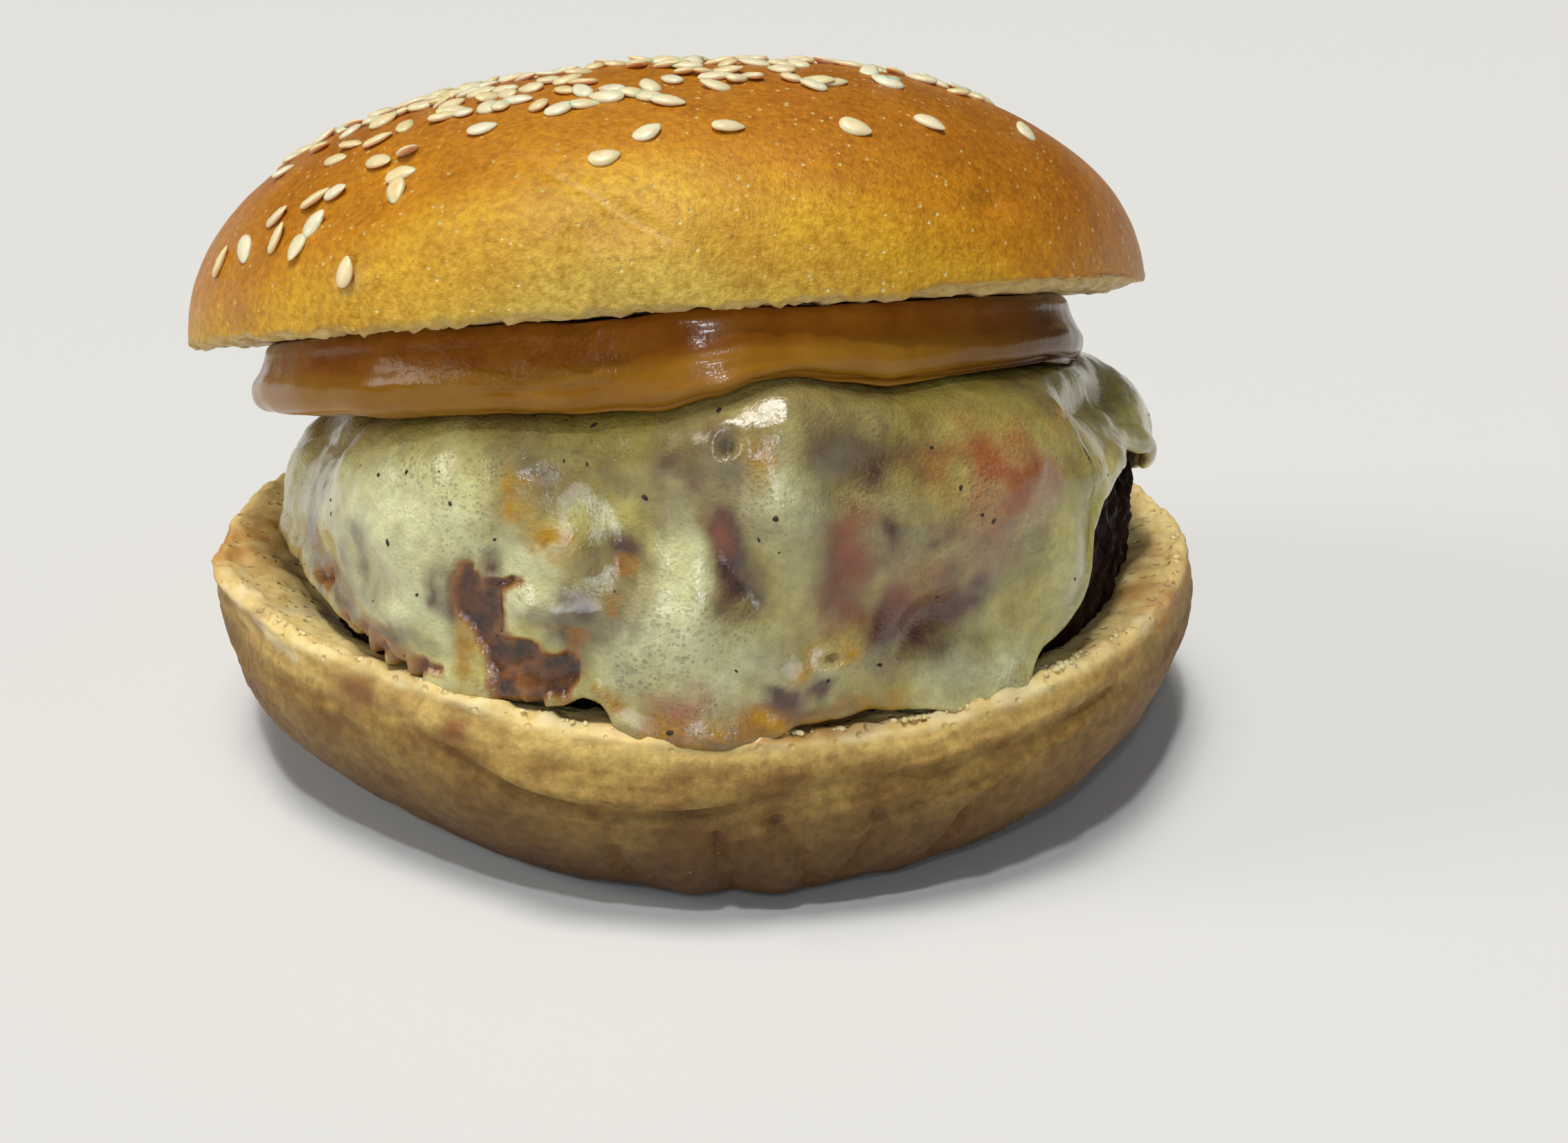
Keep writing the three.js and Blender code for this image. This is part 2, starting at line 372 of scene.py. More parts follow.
def effect(name, inputs, outputs):
    """An empty node group with named inputs, as (name, default), and named outputs."""
    group = bpy.data.node_groups.new(name, "ShaderNodeTree")
    for label, default in inputs:
        kind = "NodeSocketColor" if isinstance(default, tuple) else "NodeSocketFloat"
        socket = group.interface.new_socket(label, in_out="INPUT", socket_type=kind)
        socket.default_value = default
    for label, kind in outputs:
        group.interface.new_socket(label, in_out="OUTPUT", socket_type=kind)
    return group, group.nodes.new("NodeGroupInput"), group.nodes.new("NodeGroupOutput")


def in_millimetres(tree, size):
    """Scale for a texture whose features are size millimetres across."""
    return sums(tree, "DIVIDE", 1000.0, size)


def place_of(tree):
    """The point being shaded, in the piece's own space."""
    return add_node(tree, "ShaderNodeTexCoord").outputs["Object"]


def make_mottle():
    """Two colours in soft uneven patches."""
    group, given, out = effect(
        "mottle",
        [("Size mm", 5.0), ("Light", (1, 1, 1, 1)), ("Dark", (0, 0, 0, 1)), ("Middle", 0.5), ("Spread", 0.2)],
        [("Colour", "NodeSocketColor"), ("Mask", "NodeSocketFloat")],
    )
    patches = noise(group, in_millimetres(group, given.outputs["Size mm"]), 5.0, 0.62)
    low = sums(group, "SUBTRACT", given.outputs["Middle"], given.outputs["Spread"])
    high = sums(group, "ADD", given.outputs["Middle"], given.outputs["Spread"])
    mapped = {"Value": patches, "From Min": low, "From Max": high}
    share = add_node(group, "ShaderNodeMapRange", mapped).outputs[0]
    colour = blend(group, share, given.outputs["Dark"], given.outputs["Light"])
    group.links.new(colour, out.inputs["Colour"])
    group.links.new(share, out.inputs["Mask"])
    return group


def make_pores():
    """Small round pores: a mask that is 1 in each, and a height that dips in them."""
    group, given, out = effect(
        "pores",
        [("Size mm", 1.0), ("Share", 0.3), ("Softness", 0.12)],
        [("Mask", "NodeSocketFloat"), ("Height", "NodeSocketFloat")],
    )
    scale = in_millimetres(group, given.outputs["Size mm"])
    spread = {"Vector": place_of(group), "Scale": scale, "Randomness": 1.0}
    cells = add_node(group, "ShaderNodeTexVoronoi", spread)
    number = add_node(group, "ShaderNodeSeparateColor", {"Color": cells.outputs["Color"]}).outputs[0]
    reach = sums(group, "MULTIPLY", sums(group, "SUBTRACT", given.outputs["Share"], number), 0.9, clamp=True)
    near = sums(group, "SUBTRACT", reach, cells.outputs["Distance"])
    mask = sums(group, "DIVIDE", near, given.outputs["Softness"], clamp=True)
    group.links.new(mask, out.inputs["Mask"])
    group.links.new(sums(group, "SUBTRACT", 1.0, mask), out.inputs["Height"])
    return group


def make_grain():
    """Fine uneven relief from two sizes of noise."""
    group, given, out = effect(
        "grain",
        [("Fine mm", 0.4), ("Coarse mm", 2.0), ("Coarse share", 0.5)],
        [("Height", "NodeSocketFloat")],
    )
    fine, coarse = (
        noise(group, in_millimetres(group, given.outputs[size]), 4.0, 0.6)
        for size in ("Fine mm", "Coarse mm")
    )
    group.links.new(either(group, given.outputs["Coarse share"], fine, coarse), out.inputs["Height"])
    return group


MOTTLE = make_mottle()
PORES = make_pores()
GRAIN = make_grain()


def use(tree, group, **inputs):
    """Places a shared effect in a material. Input names are written with underscores for spaces."""
    given = {key.replace("_", " "): value for key, value in inputs.items()}
    return add_node(tree, "ShaderNodeGroup", given, node_tree=group)


def mottled(tree, size_mm, light, dark, spread, middle=0.5):
    """A colour that wanders between two, in patches size_mm across."""
    given = {"Size_mm": size_mm, "Light": (*light, 1), "Dark": (*dark, 1), "Middle": middle, "Spread": spread}
    return use(tree, MOTTLE, **given).outputs["Colour"]


def clouded(tree, size_mm, spread):
    """A mask of soft patches size_mm across."""
    return use(tree, MOTTLE, Size_mm=size_mm, Middle=0.5, Spread=spread).outputs["Mask"]


def grainy(tree, fine_mm, coarse_mm, coarse_share):
    """Height of a fine uneven surface."""
    return use(tree, GRAIN, Fine_mm=fine_mm, Coarse_mm=coarse_mm, Coarse_share=coarse_share).outputs["Height"]


def stained(tree, colour, name, strength, tint):
    """colour, turned towards tint where the piece carries that mark."""
    return blend(tree, scaled(tree, mark(tree, name), strength), colour, (*tint, 1))


def pored(tree, size_mm, share, softness, output="Mask"):
    """A mask that is 1 in small round pores, or the height that dips in them."""
    return use(tree, PORES, Size_mm=size_mm, Share=share, Softness=softness).outputs[output]


def flecked(tree, colour, pores, strength, tint):
    """colour, turned towards tint in small round pores."""
    return blend(tree, scaled(tree, pored(tree, *pores), strength), colour, (*tint, 1))


def finished(tree, shader, colour, roughness):
    """Gives the shader its colour and its roughness."""
    tree.links.new(colour, shader.inputs["Base Color"])
    tree.links.new(roughness, shader.inputs["Roughness"])


def uneven_sheen(tree, size_mm, spread, low, high):
    """Roughness that goes from low to high in patches size_mm across."""
    return between(tree, clouded(tree, size_mm, spread), 0, 1, low, high)


def new_finish(name, **constants):
    """An empty material with one Principled shader, and that shader's plain values set."""
    material = bpy.data.materials.new(name)
    material.use_nodes = True
    tree = material.node_tree
    shader = tree.nodes["Principled BSDF"]
    for key, value in constants.items():
        shader.inputs[key.replace("_", " ")].default_value = value
    return material, tree, shader


def relief(tree, shader, height, depth_mm, coat_share=0.5):
    """Bump from a height, with depth in millimetres. A clear coat fills part of it in."""
    for layer, depth in (("Normal", depth_mm), ("Coat Normal", coat_share * depth_mm)):
        made = add_node(tree, "ShaderNodeBump", {"Height": height, "Distance": depth * MM, "Strength": 1.0})
        tree.links.new(made.outputs["Normal"], shader.inputs[layer])


# ---- the heel


def heel_radius(theta):
    return wavy(theta, HEEL_RADIUS, (0.7, 2, 0.5), (0.5, 3, 2.1), (0.35, 7, 0.9))


# Lines in the heel's skin, by bearing and height: the long crease, the pleats under it and fine folds.
HEEL_CREASE = [
    (-126, 17), (-118, 15.6), (-113, 14.2), (-107, 12.4), (-98, 11), (-87, 12), (-79, 14), (-63, 14.4),
    (-50, 15.8), (-40, 17),
]
HEEL_PLEATS = [
    [(-81.5, 10.6), (-79, 7), (-76.9, 2.6)],
    [(-70.6, 10.4), (-71.5, 6.5), (-73.5, 3)],
    [(-87.5, 8.8), (-86, 4), (-85.5, 1.6)],
    [(-98, 7), (-97, 3)],
    [(-60, 8), (-62.5, 3.6)],
]
HEEL_FOLDS = [
    [(-86, 9), (-78, 11), (-68, 12.4), (-57, 13.2)],
    [(-73, 8.6), (-65, 10.6), (-54, 12)],
    [(-68, 14.9), (-59, 16), (-49, 17.2)],
    [(-108, 14.2), (-99, 13), (-91, 13.4)],
    [(-60, 11.2), (-52, 13.6), (-46, 14.6)],
]
# Soft round marks on the heel, given as bearing, height, width, height of the mark and depth: tucks in
# its skin, juice soaked into it, toasted places on the rim, and oil on the crumb.
HEEL_TUCKS = [(at, 3.2, 3.2, 3.4, 1) for at in (-80.5, -74, -90, -66)]
HEEL_SOAKED = [
    (-128, 17.8, 3.0, 2.2, 1.0), (-122, 18.2, 2.6, 2.2, 0.5), (-114.8, 16.6, 1.7, 2.2, 1.1),
    (-109, 18.2, 1.6, 2.2, 0.4), (-148, 19.6, 3, 2.2, 0.35), (-20, 19.5, 4, 2.2, 0.35),
    (40, 19.5, 6, 2.2, 0.5), (140, 19.5, 6, 2.2, 0.4),
]
HEEL_TOASTED = [
    (-20, 20, 8, 1.8, 0.9), (-5, 20.3, 6, 1.8, 0.7), (-38, 20, 5, 1.8, 0.5), (-168, 20.6, 9, 1.8, 1.0),
    (-176, 19, 8, 1.8, 0.6), (90, 19.5, 20, 1.8, 0.6), (150, 20, 16, 1.8, 0.8), (-60, 19, 6, 1.8, 0.3),
]
HEEL_OILY = [
    (-88, 18.4, 6, 1.5, 0.8), (-76, 18.4, 7, 1.5, 1.0), (-82, 18.4, 4, 1.5, 0.8),
    (-98, 18.4, 3, 1.5, 0.5),
]
HEEL_TEAR = [(-148, 19.8), (-143, 18.9), (-138, 18.4)]
HEEL_TALL = 20  # height over which the skin's painted shade runs from bottom to top


def make_heel():
    theta, bearing = columns(420)
    radius = heel_radius(theta)
    rim = around(HEEL_RIM, bearing)
    lip = 1.6 * bell(bearing, -164, 11)
    pinch = 1 - 0.9 * bell(bearing, -152, 7) / HEEL_RADIUS
    full = bell(bearing, -82, 46)
    stations = [
        (0, 0),
        (0.40 * radius, 0),
        ((0.68 + 0.14 * full) * radius, 0),
        ((0.76 + 0.13 * full) * radius, 0.5),
        ((0.85 + 0.09 * full) * radius, 2.9),
        ((0.93 + 0.05 * full) * radius, 6.6),
        ((0.98 + 0.015 * full) * radius, 10.8),
        (radius * pinch, 14.4),
        (0.992 * radius * pinch + 0.5 * lip, rim - 2.2),
        (0.98 * radius + lip, rim - 0.7),
        (0.962 * radius + lip, rim),
        (0.935 * radius + lip, rim - 0.35),
        (0.885 * radius, 0.75 * rim + 0.25 * HEEL_FACE - 0.3),
        (0.82 * radius, HEEL_FACE + 0.1),
        (0.4 * radius, HEEL_FACE),
        (0, HEEL_FACE),
    ]
    section = fair(through(theta, stations), [4, 5, 5, 8, 10, 12, 12, 12, 8, 8, 8, 10, 10, 6, 3])
    points = swept(theta, section)
    r, z = section[..., 0], section[..., 1]
    outward = r / radius

    crumb = ease(outward, 0.78, 0.82) * ease(z, 17.2, 17.9) * (1 - ease(outward, 0.965, 0.99))
    side = ease(outward, 0.74, 0.86) * (1 - crumb)
    crease = stroke(bearing, z, HEEL_CREASE, 0.55, HEEL_ARC) * ease(outward, 0.8, 0.9)
    roll = stroke(bearing, z, [(b, h + 1.7) for b, h in HEEL_CREASE], 1.5, HEEL_ARC) * side
    pleats = strokes(HEEL_PLEATS, bearing, z, 0.6, HEEL_ARC) * side
    folds = strokes(HEEL_FOLDS, bearing, z, 0.45, HEEL_ARC) * side
    tucks = total(HEEL_TUCKS, bearing, z, HEEL_ARC) * side

    height = 0.30 * lumps(points, 17, 3) * side + 0.14 * lumps(points, 7, 4) * side
    height += 0.06 * rough(points * (1, 1, 0.6), 2.4, 5) * side
    fading = 0.45 + 0.55 * lumps(points, 7, 6)
    height += fading * (0.8 * roll - 1.2 * crease) + (0.6 + 0.4 * lumps(points, 3, 38)) * 0.7 * folds
    height += (0.8 + 0.5 * lumps(points, 4, 36)) * (0.9 * tucks - 1.4 * pleats)
    wrinkle = 1 - np.abs(rough(points * (0.5, 0.5, 1.5), 3.4, 7))
    height += 0.34 * side * (wrinkle - 0.8)
    height += crumb * 0.3 * rough(points, 2.6, 8)
    ragged = ease(outward, 0.93, 0.96) * ease(z, rim - 1.4, rim - 0.3)
    height += ragged * (0.35 * rough(points, 1.6, 9) + 0.25 * lumps(points, 4.5, 10))
    points = raised(points, height * ease(outward, 0.02, 0.2))
    points[..., 2] = np.maximum(points[..., 2], 0)

    soaked = total(HEEL_SOAKED, bearing, z, HEEL_ARC) * ease(z, 12, 17)
    soaked = (soaked + 0.15 * crumb * (1 - ease(r, 45, 47.5))) * (0.9 + 0.6 * lumps(points, 2.2, 33))
    toasted = total(HEEL_TOASTED, bearing, z, HEEL_ARC) * (0.7 + 0.6 * lumps(points, 2.2, 35))
    torn = 0.7 * ragged * ease(rough(points, 3.2, 41), 0.1, 0.6)
    torn += 0.8 * stroke(bearing, z, HEEL_TEAR, 0.5, HEEL_ARC)
    marks = {
        "crumb": crumb + 0.8 * ragged,
        "soaked": soaked,
        "toasted": toasted,
        "oily": crumb * total(HEEL_OILY, bearing, z, HEEL_ARC),
        "torn": torn,
        "rise": z / HEEL_TALL,
        # Darker along the crease, the pleats and the wrinkle troughs: painted shade.
        "crease_shade": fading * crease + pleats + 0.35 * side * ease(0.72 - wrinkle, 0, 0.3),
        # Darker on the sides and round the back of the heel: painted shade.
        "browned_and_shaded": side * ease(np.abs(swing(bearing, -98)) + 6 * lumps(points, 9, 37), 22, 74),
    }
    return ring_piece("bun_heel_bread", points, marks)


def heel_bread():
    material, tree, shader = new_finish(
        "soft heel bread", Subsurface_Weight=0.12, Subsurface_Scale=0.002, Specular_IOR_Level=0.3
    )
    crust = mottled(tree, 6.0, (0.43, 0.28, 0.07), (0.23, 0.12, 0.023), 0.13)
    fine = mottled(tree, 1.2, (1.24, 1.24, 1.22), (0.72, 0.68, 0.6), 0.16)
    # Darker towards the bottom: painted shade, partly also the browner crust underneath. Paler in a band just
    # under the rim.
    low = blend(tree, marked(tree, "rise", 0.1, 0.95), (0.08, 0.036, 0.011, 1), crust)
    low = blend(tree, marked(tree, "rise", 0.76, 0.88, 0.0, 0.75), low, (0.66, 0.47, 0.15, 1))
    # Painted shade on the sides and back of the heel.
    low = stained(tree, low, "browned_and_shaded", 0.6, (0.20, 0.092, 0.02))
    # Painted shade in the crease, pleats and wrinkles.
    low = stained(tree, low, "crease_shade", 0.6, (0.16, 0.075, 0.018))
    skin = times(tree, low, fine, 0.85)
    crumb = mottled(tree, 1.8, (0.86, 0.68, 0.30), (0.70, 0.50, 0.17), 0.14, 0.48)
    colour = blend(tree, mark(tree, "crumb"), skin, crumb)
    colour = stained(tree, colour, "torn", 0.7, (0.80, 0.70, 0.45))
    colour = stained(tree, colour, "toasted", 0.8, (0.50, 0.23, 0.045))
    colour = stained(tree, colour, "soaked", 0.9, (0.20, 0.068, 0.013))
    colour = stained(tree, colour, "oily", 0.7, (0.40, 0.16, 0.02))
    colour = flecked(tree, colour, (1.3, 0.16, 0.1), 0.35, (0.82, 0.70, 0.42))
    wet = sums(tree, "MAXIMUM", mark(tree, "soaked"), mark(tree, "oily"))
    finished(tree, shader, colour, between(tree, wet, 0.1, 0.8, 0.62, 0.22))
    holes = pored(tree, 1.0, 0.62, 0.3, "Height")
    grain = grainy(tree, 0.5, 2.6, 0.55)
    relief(tree, shader, either(tree, mark(tree, "crumb"), grain, holes), 0.34)
    return material


# ---- the filling's shared shoulder

CROWN_TURN = np.array(
    Matrix.Rotation(-CROWN_TIP_BACK, 3, "X") @ Matrix.Rotation(-CROWN_TIP_LEFT, 3, "Y")
)


def seated(points):
    """Points of the crown's own frame, bent over the filling and tipped into place."""
    bent = points.copy()
    bent[..., 2] += CROWN_SAG * np.maximum(points[..., 1], 0) ** 2
    return bent @ CROWN_TURN.T + CROWN_SEAT


def crown_face(x, y):
    """Height of the crown's cut face over a point."""
    u, v = x - CROWN_SEAT[0], y - CROWN_SEAT[1]
    for _ in range(6):
        world = seated(np.stack([u, v, np.zeros_like(u)], -1))
        u, v = u + x - world[..., 0], v + y - world[..., 1]
    return world[..., 2]


def cheese_radius(theta):
    return wavy(theta, CHEESE_RADIUS, (0.6, 2, 3.4), (0.5, 3, 0.4), (0.4, 5, 1.7), (0.35, 8, 0.3))


def layer_top(theta, radius, below):
    return crown_face(FILLING[0] + radius * np.cos(theta), FILLING[1] + radius * np.sin(theta)) - below


def filling_side(theta, way, inset, power=SHOULDER_POWER):
    """Radius and height down the outside of a layer: way is 0 on the axis, 1 at the waist, more below."""
    share = np.minimum(way, 1)
    angle = share**2 * math.pi / 2
    radius = (cheese_radius(theta) - inset) * np.sin(angle) ** (2 / power)
    top = layer_top(theta, radius, SAUCE_THICKNESS + inset)
    height = WAIST + (top - WAIST) * np.cos(angle).clip(0) ** (2 / power)
    hang = 10 * np.maximum(way - 1, 0)
    return np.stack([radius - 0.06 * hang, height - hang], -1)


def side_grid(theta, inset, stations, lowest=16.5, power=SHOULDER_POWER):
    """Sections of a layer from the axis down to a height, in even steps along the surface."""
    t = np.linspace(0, 1, 700)[None, :]
    way = np.concatenate([1 - (1 - t) ** 3, 1 + 0.1 * (WAIST - lowest) * t[:, 1:60:8] / t[0, 57]], axis=1)
    path = filling_side(theta, np.broadcast_to(way, (len(theta), way.shape[1])), inset, power)
    travelled = np.concatenate(
        [np.zeros((len(theta), 1)), np.cumsum(np.linalg.norm(np.diff(path, axis=1), axis=2), axis=1)], axis=1
    )
    even = np.linspace(0, 1, stations)
    rows = [
        np.stack([np.interp(even * far[-1], far, line[:, 0]), np.interp(even * far[-1], far, line[:, 1])], -1)
        for far, line in zip(travelled, path)
    ]
    return np.array(rows)


def cut_off(heights, edge):
    """Fractional station of each column at which a side grid comes down to its edge."""
    above = heights >= edge
    last = heights.shape[1] - 1 - np.argmax(above[:, ::-1], axis=1)
    after = np.minimum(last + 1, heights.shape[1] - 1)
    rows = np.arange(len(heights))
    here, below = heights[rows, last], heights[rows, after]
    return (last + np.clip((here - edge[:, 0]) / (here - below + 1e-9), 0, 1))[:, None]


def picked(values, where):
    """Values of a grid at fractional stations of each column."""
    low = np.clip(np.floor(where).astype(int), 0, values.shape[1] - 2)
    part = where - low
    rows = np.arange(len(values))[:, None]
    if values.ndim == 3:
        part = part[..., None]
    return values[rows, low] * (1 - part) + values[rows, low + 1] * part


# ---- the patty


def make_patty():
    theta, bearing = columns(360)
    base = HEEL_FACE + 0.3
    grid = side_grid(theta, 2.6, 150, base + 0.6, 4)[:, ::-1]
    body = grid[:, :1, 0]
    under = through(theta, [(0, base), (0.5 * body, base), (body - 3, base)])
    controls = np.concatenate([under, grid[:, :1]], axis=1)
    section = np.concatenate([fair(controls, [3, 8, 5])[:, :-1], grid[:, :110], grid[:, 112::4]], axis=1)
    section[:, -1] = grid[:, -1]
    points = swept(theta, section, FILLING)
    side = ease(section[..., 0], 20, 32)
    big, _ = clumps(points * (1, 1, 1.25), 4.8, 51)
    small, own = clumps(points * (1, 1, 1.1), 2.1, 61)
    height = 1.3 * (0.6 - big) + 0.8 * (0.5 - small) + 0.3 * rough(points, 1.1, 71, 2)
    height += total(FILLING_DENTS, bearing, points[..., 2]) * ease(section[..., 0], 35, 40)
    points = raised(points, height * side)
    marks = {
        # Near black in the crevices between the clumps: painted shade.
        "crevice_shade": 1.1 * big + 0.8 * small - 0.45,
        "browned_and_shaded": 0.3 * own + 0.3 * lumps(points, 3, 75),
    }
    return ring_piece("patty_meat", points, marks)


def ground_meat():
    material, tree, shader = new_finish("moist ground beef", Specular_IOR_Level=0.03)
    meat = mottled(tree, 2.4, (0.026, 0.008, 0.006), (0.006, 0.002, 0.002), 0.18)
    brown = mottled(tree, 3.2, (0.07, 0.026, 0.013), (0.024, 0.008, 0.004), 0.15)
    colour = blend(tree, mark(tree, "browned_and_shaded"), meat, brown)
    # Painted shade in the crevices between clumps.
    colour = blend(tree, marked(tree, "crevice_shade", 0.35, 0.9), colour, (0.006, 0.0025, 0.002, 1))
    finished(tree, shader, colour, uneven_sheen(tree, 4.0, 0.12, 0.42, 0.85))
    relief(tree, shader, grainy(tree, 0.45, 1.6, 0.5), 0.6)
    return material


# ---- the cheese

CHEESE_THICKNESS = 1.7
CHEESE_STATIONS = 200
# Swellings and hollows that the meat and the melting left: bearing and height, width, height, depth.
CHEESE_SWELLS = [
    (-132, 34, 9, 6, 0.8), (-148, 36, 6, 6, -0.5), (-118, 41, 8, 4, 0.5), (-121, 33, 6, 5, 0.8),
    (-103, 42, 6, 4, -1.1), (-98, 38.5, 4, 4, -1.3), (-92.5, 37, 2.4, 5, -1.2), (-107, 35, 3, 3, 0.6),
    (-106, 29.8, 3.4, 1.8, 1.6), (-82, 40.5, 4, 3.2, 1.9), (-86.5, 41, 1.6, 3, -0.7),
    (-91.5, 29, 5, 6, 1.3), (-87.5, 36.4, 2.2, 3.2, -1.1), (-84.5, 32.5, 2.4, 3, -0.7),
    (-79.5, 35, 3, 5, 0.9), (-75, 33.5, 2.2, 4, -0.6), (-70, 37, 4.5, 5, 0.9),
    (-64.5, 28, 4.5, 3.4, -1.6), (-60, 34, 5, 4, 0.7), (-52, 39, 6, 4, 0.9), (-54.5, 22, 4, 2.6, 0.9),
    (-44.5, 29.5, 3, 4, 1.2), (-38, 38, 4, 2, 0.8), (-88, 20.5, 6, 1.6, 0.6), (-70, 43, 6, 2.4, -0.6),
    (-98, 34, 2.6, 2.6, -0.8), (-130, 30, 3, 3, -0.7), (-142, 27.5, 4, 2.5, -0.6),
    (-112.5, 34.5, 3, 2, -0.7), (-127, 26, 5, 2, 0.8), (-24, 43, 10, 5, -0.9), (-150, 40, 6, 5, -0.9),
    (-82, 47, 7, 4.5, 2.0), (-74, 46, 6, 3, 0.8),
]
# Where the whole filling is drawn in a little at its sides.
FILLING_DENTS = [(-160, 38, 12, 10, -2.2), (-19, 45.5, 15, 5.5, -3.4), (-11, 38, 10, 5, -1.6)]
CHEESE_FOLD = [(-80, 23), (-77.5, 24), (-73, 25.6), (-68, 28.4), (-64, 31)]
# Where the meat shows brown or grey through the cheese, where it blushes pink, and where oil sits.
MEAT_BEHIND = [
    (-131.5, 30.7, 1.5, 1.9, 0.45), (-98.4, 34.3, 1.8, 1.6, 0.85), (-100.2, 30.4, 2.4, 2.0, 0.95),
    (-103, 27.5, 2, 2, 0.8), (-88, 36.9, 1.1, 1.8, 0.65), (-85.6, 33.3, 1.8, 2.2, 0.75),
    (-87, 35, 1.5, 2, 0.5), (-79.3, 22.2, 1.0, 0.8, 0.8), (-64.9, 27.9, 3.4, 2.2, 0.85),
    (-68.5, 25.6, 2.4, 2.0, 0.5), (-60.5, 30.5, 2.5, 2.4, 0.6), (-70.5, 36.7, 1.6, 1.6, 0.3),
    (-75, 33, 1.4, 3.4, 0.35), (-141, 25.5, 3.2, 1.4, 0.8), (-147, 27.5, 3, 1.6, 0.7),
    (-127, 23.9, 4, 1.0, 0.6), (-62, 36.5, 1.6, 1.4, 0.3), (-104, 42.5, 4, 2.2, 0.25),
    (-70, 43.5, 6, 2.0, 0.28), (-90, 44, 4, 2, 0.25), (-116.8, 30, 1.2, 1.8, 0.9),
    (-113, 33, 1.2, 1.0, 0.5), (-88, 18.6, 7, 0.7, 0.5), (-76, 20.4, 4, 0.6, 0.6), (-42, 40, 3, 3, 0.25),
    (30, 32, 6, 4, 0.5), (75, 30, 5, 3, 0.5), (118, 28, 7, 3, 0.55), (160, 31, 5, 3, 0.5),
]
CHEESE_BLUSH = [
    (-54.7, 40.8, 3.0, 2.4, 0.95), (-48.9, 39.6, 1.8, 1.8, 0.8), (-58, 43, 4, 1.8, 0.35),
    (-91, 20.6, 2.6, 1.5, 0.7), (-74.6, 36, 1.4, 2.4, 0.4), (-75, 31, 2.2, 3, 0.25),
    (-88.6, 37.6, 1.0, 1.6, 0.35), (-57, 36, 3, 3, 0.25), (-83, 20, 2, 1, 0.4), (-66, 31, 3, 3, 0.25),
    (60, 30, 5, 4, 0.35), (140, 30, 5, 4, 0.35),
]
CHEESE_OIL = [
    (-111.5, 39.8, 0.9, 1.5, 0.8), (-109.2, 41.2, 1.2, 0.6, 0.9), (-106.3, 35.6, 1.6, 0.7, 0.9),
    (-108.5, 37, 0.8, 1.6, 0.5), (-75.6, 25.6, 1.3, 1.0, 0.95), (-88.5, 18.8, 5, 0.6, 0.5),
    (-80, 20.2, 3, 0.5, 0.55), (-99.5, 22.5, 0.6, 0.9, 0.8), (-84.5, 43.5, 0.9, 1.4, 0.6),
    (-40, 44, 3, 0.8, 0.4), (-115, 26, 1, 3, 0.7), (-71.5, 20.8, 3.4, 0.7, 0.6),
]
# Where the cheese has torn and scorched on the meat, and where it lies thick and pale.
SCORCH = [
    (-116.4, 30.8, 1.1, 1.7, 1.0), (-114.6, 29.0, 1.6, 1.5, 1.0), (-112.6, 30.8, 1.4, 0.7, 0.9),
    (-110, 31.4, 1.1, 0.6, 0.9), (-113.2, 26.8, 1.2, 1.8, 0.95), (-111.6, 24.4, 1.3, 1.7, 0.8),
    (-107.4, 23.6, 2.4, 1.8, 1.2), (-108.6, 21.4, 3.0, 1.0, 0.9), (-104.2, 24.6, 1.8, 1.3, 0.9),
    (-102.4, 27.2, 1.7, 1.3, 0.75), (-99.2, 30.4, 1.5, 1.5, 0.4), (-98.2, 34.2, 1.3, 1.1, 0.32),
    (-142, 25.2, 2.4, 1.2, 0.8), (-134, 23.4, 3.0, 1.2, 0.75), (-127, 22.2, 3.0, 0.9, 0.8),
    (-120.5, 21.4, 2.4, 0.9, 0.7), (-102, 20.8, 1.6, 0.9, 0.9),
]
CHEESE_PALE = [
    (-106, 29.6, 3.4, 1.6, 1.0), (-111.5, 33.6, 3.6, 1.6, 0.7), (-92.6, 34, 1.6, 5.5, 0.6),
    (-91, 26, 3.4, 4.4, 0.6), (-97, 26.6, 1.8, 2.6, 0.7), (-124, 36, 6, 2.6, 0.6),
    (-133, 30, 3.4, 4, 0.5), (-57, 22.6, 4, 2.4, 0.6), (-118, 25.6, 0.9, 3.2, 0.9),
    (-84, 24, 3.4, 2.6, 0.5), (-122, 28, 2.6, 2.2, 0.6), (-82, 41.5, 2.6, 2, 0.5),
]


def stain(spots, bearing, height):
    """Soft marks with a fuller middle than a plain spot."""
    clear = 1
    for b, h, wide, tall, depth in spots:
        fuller = spot(bearing, height, (b, h), 1.25 * wide, 1.25 * tall)
        clear = clear * (1 - np.tanh(2.4 * depth * fuller))
    return 1 - clear


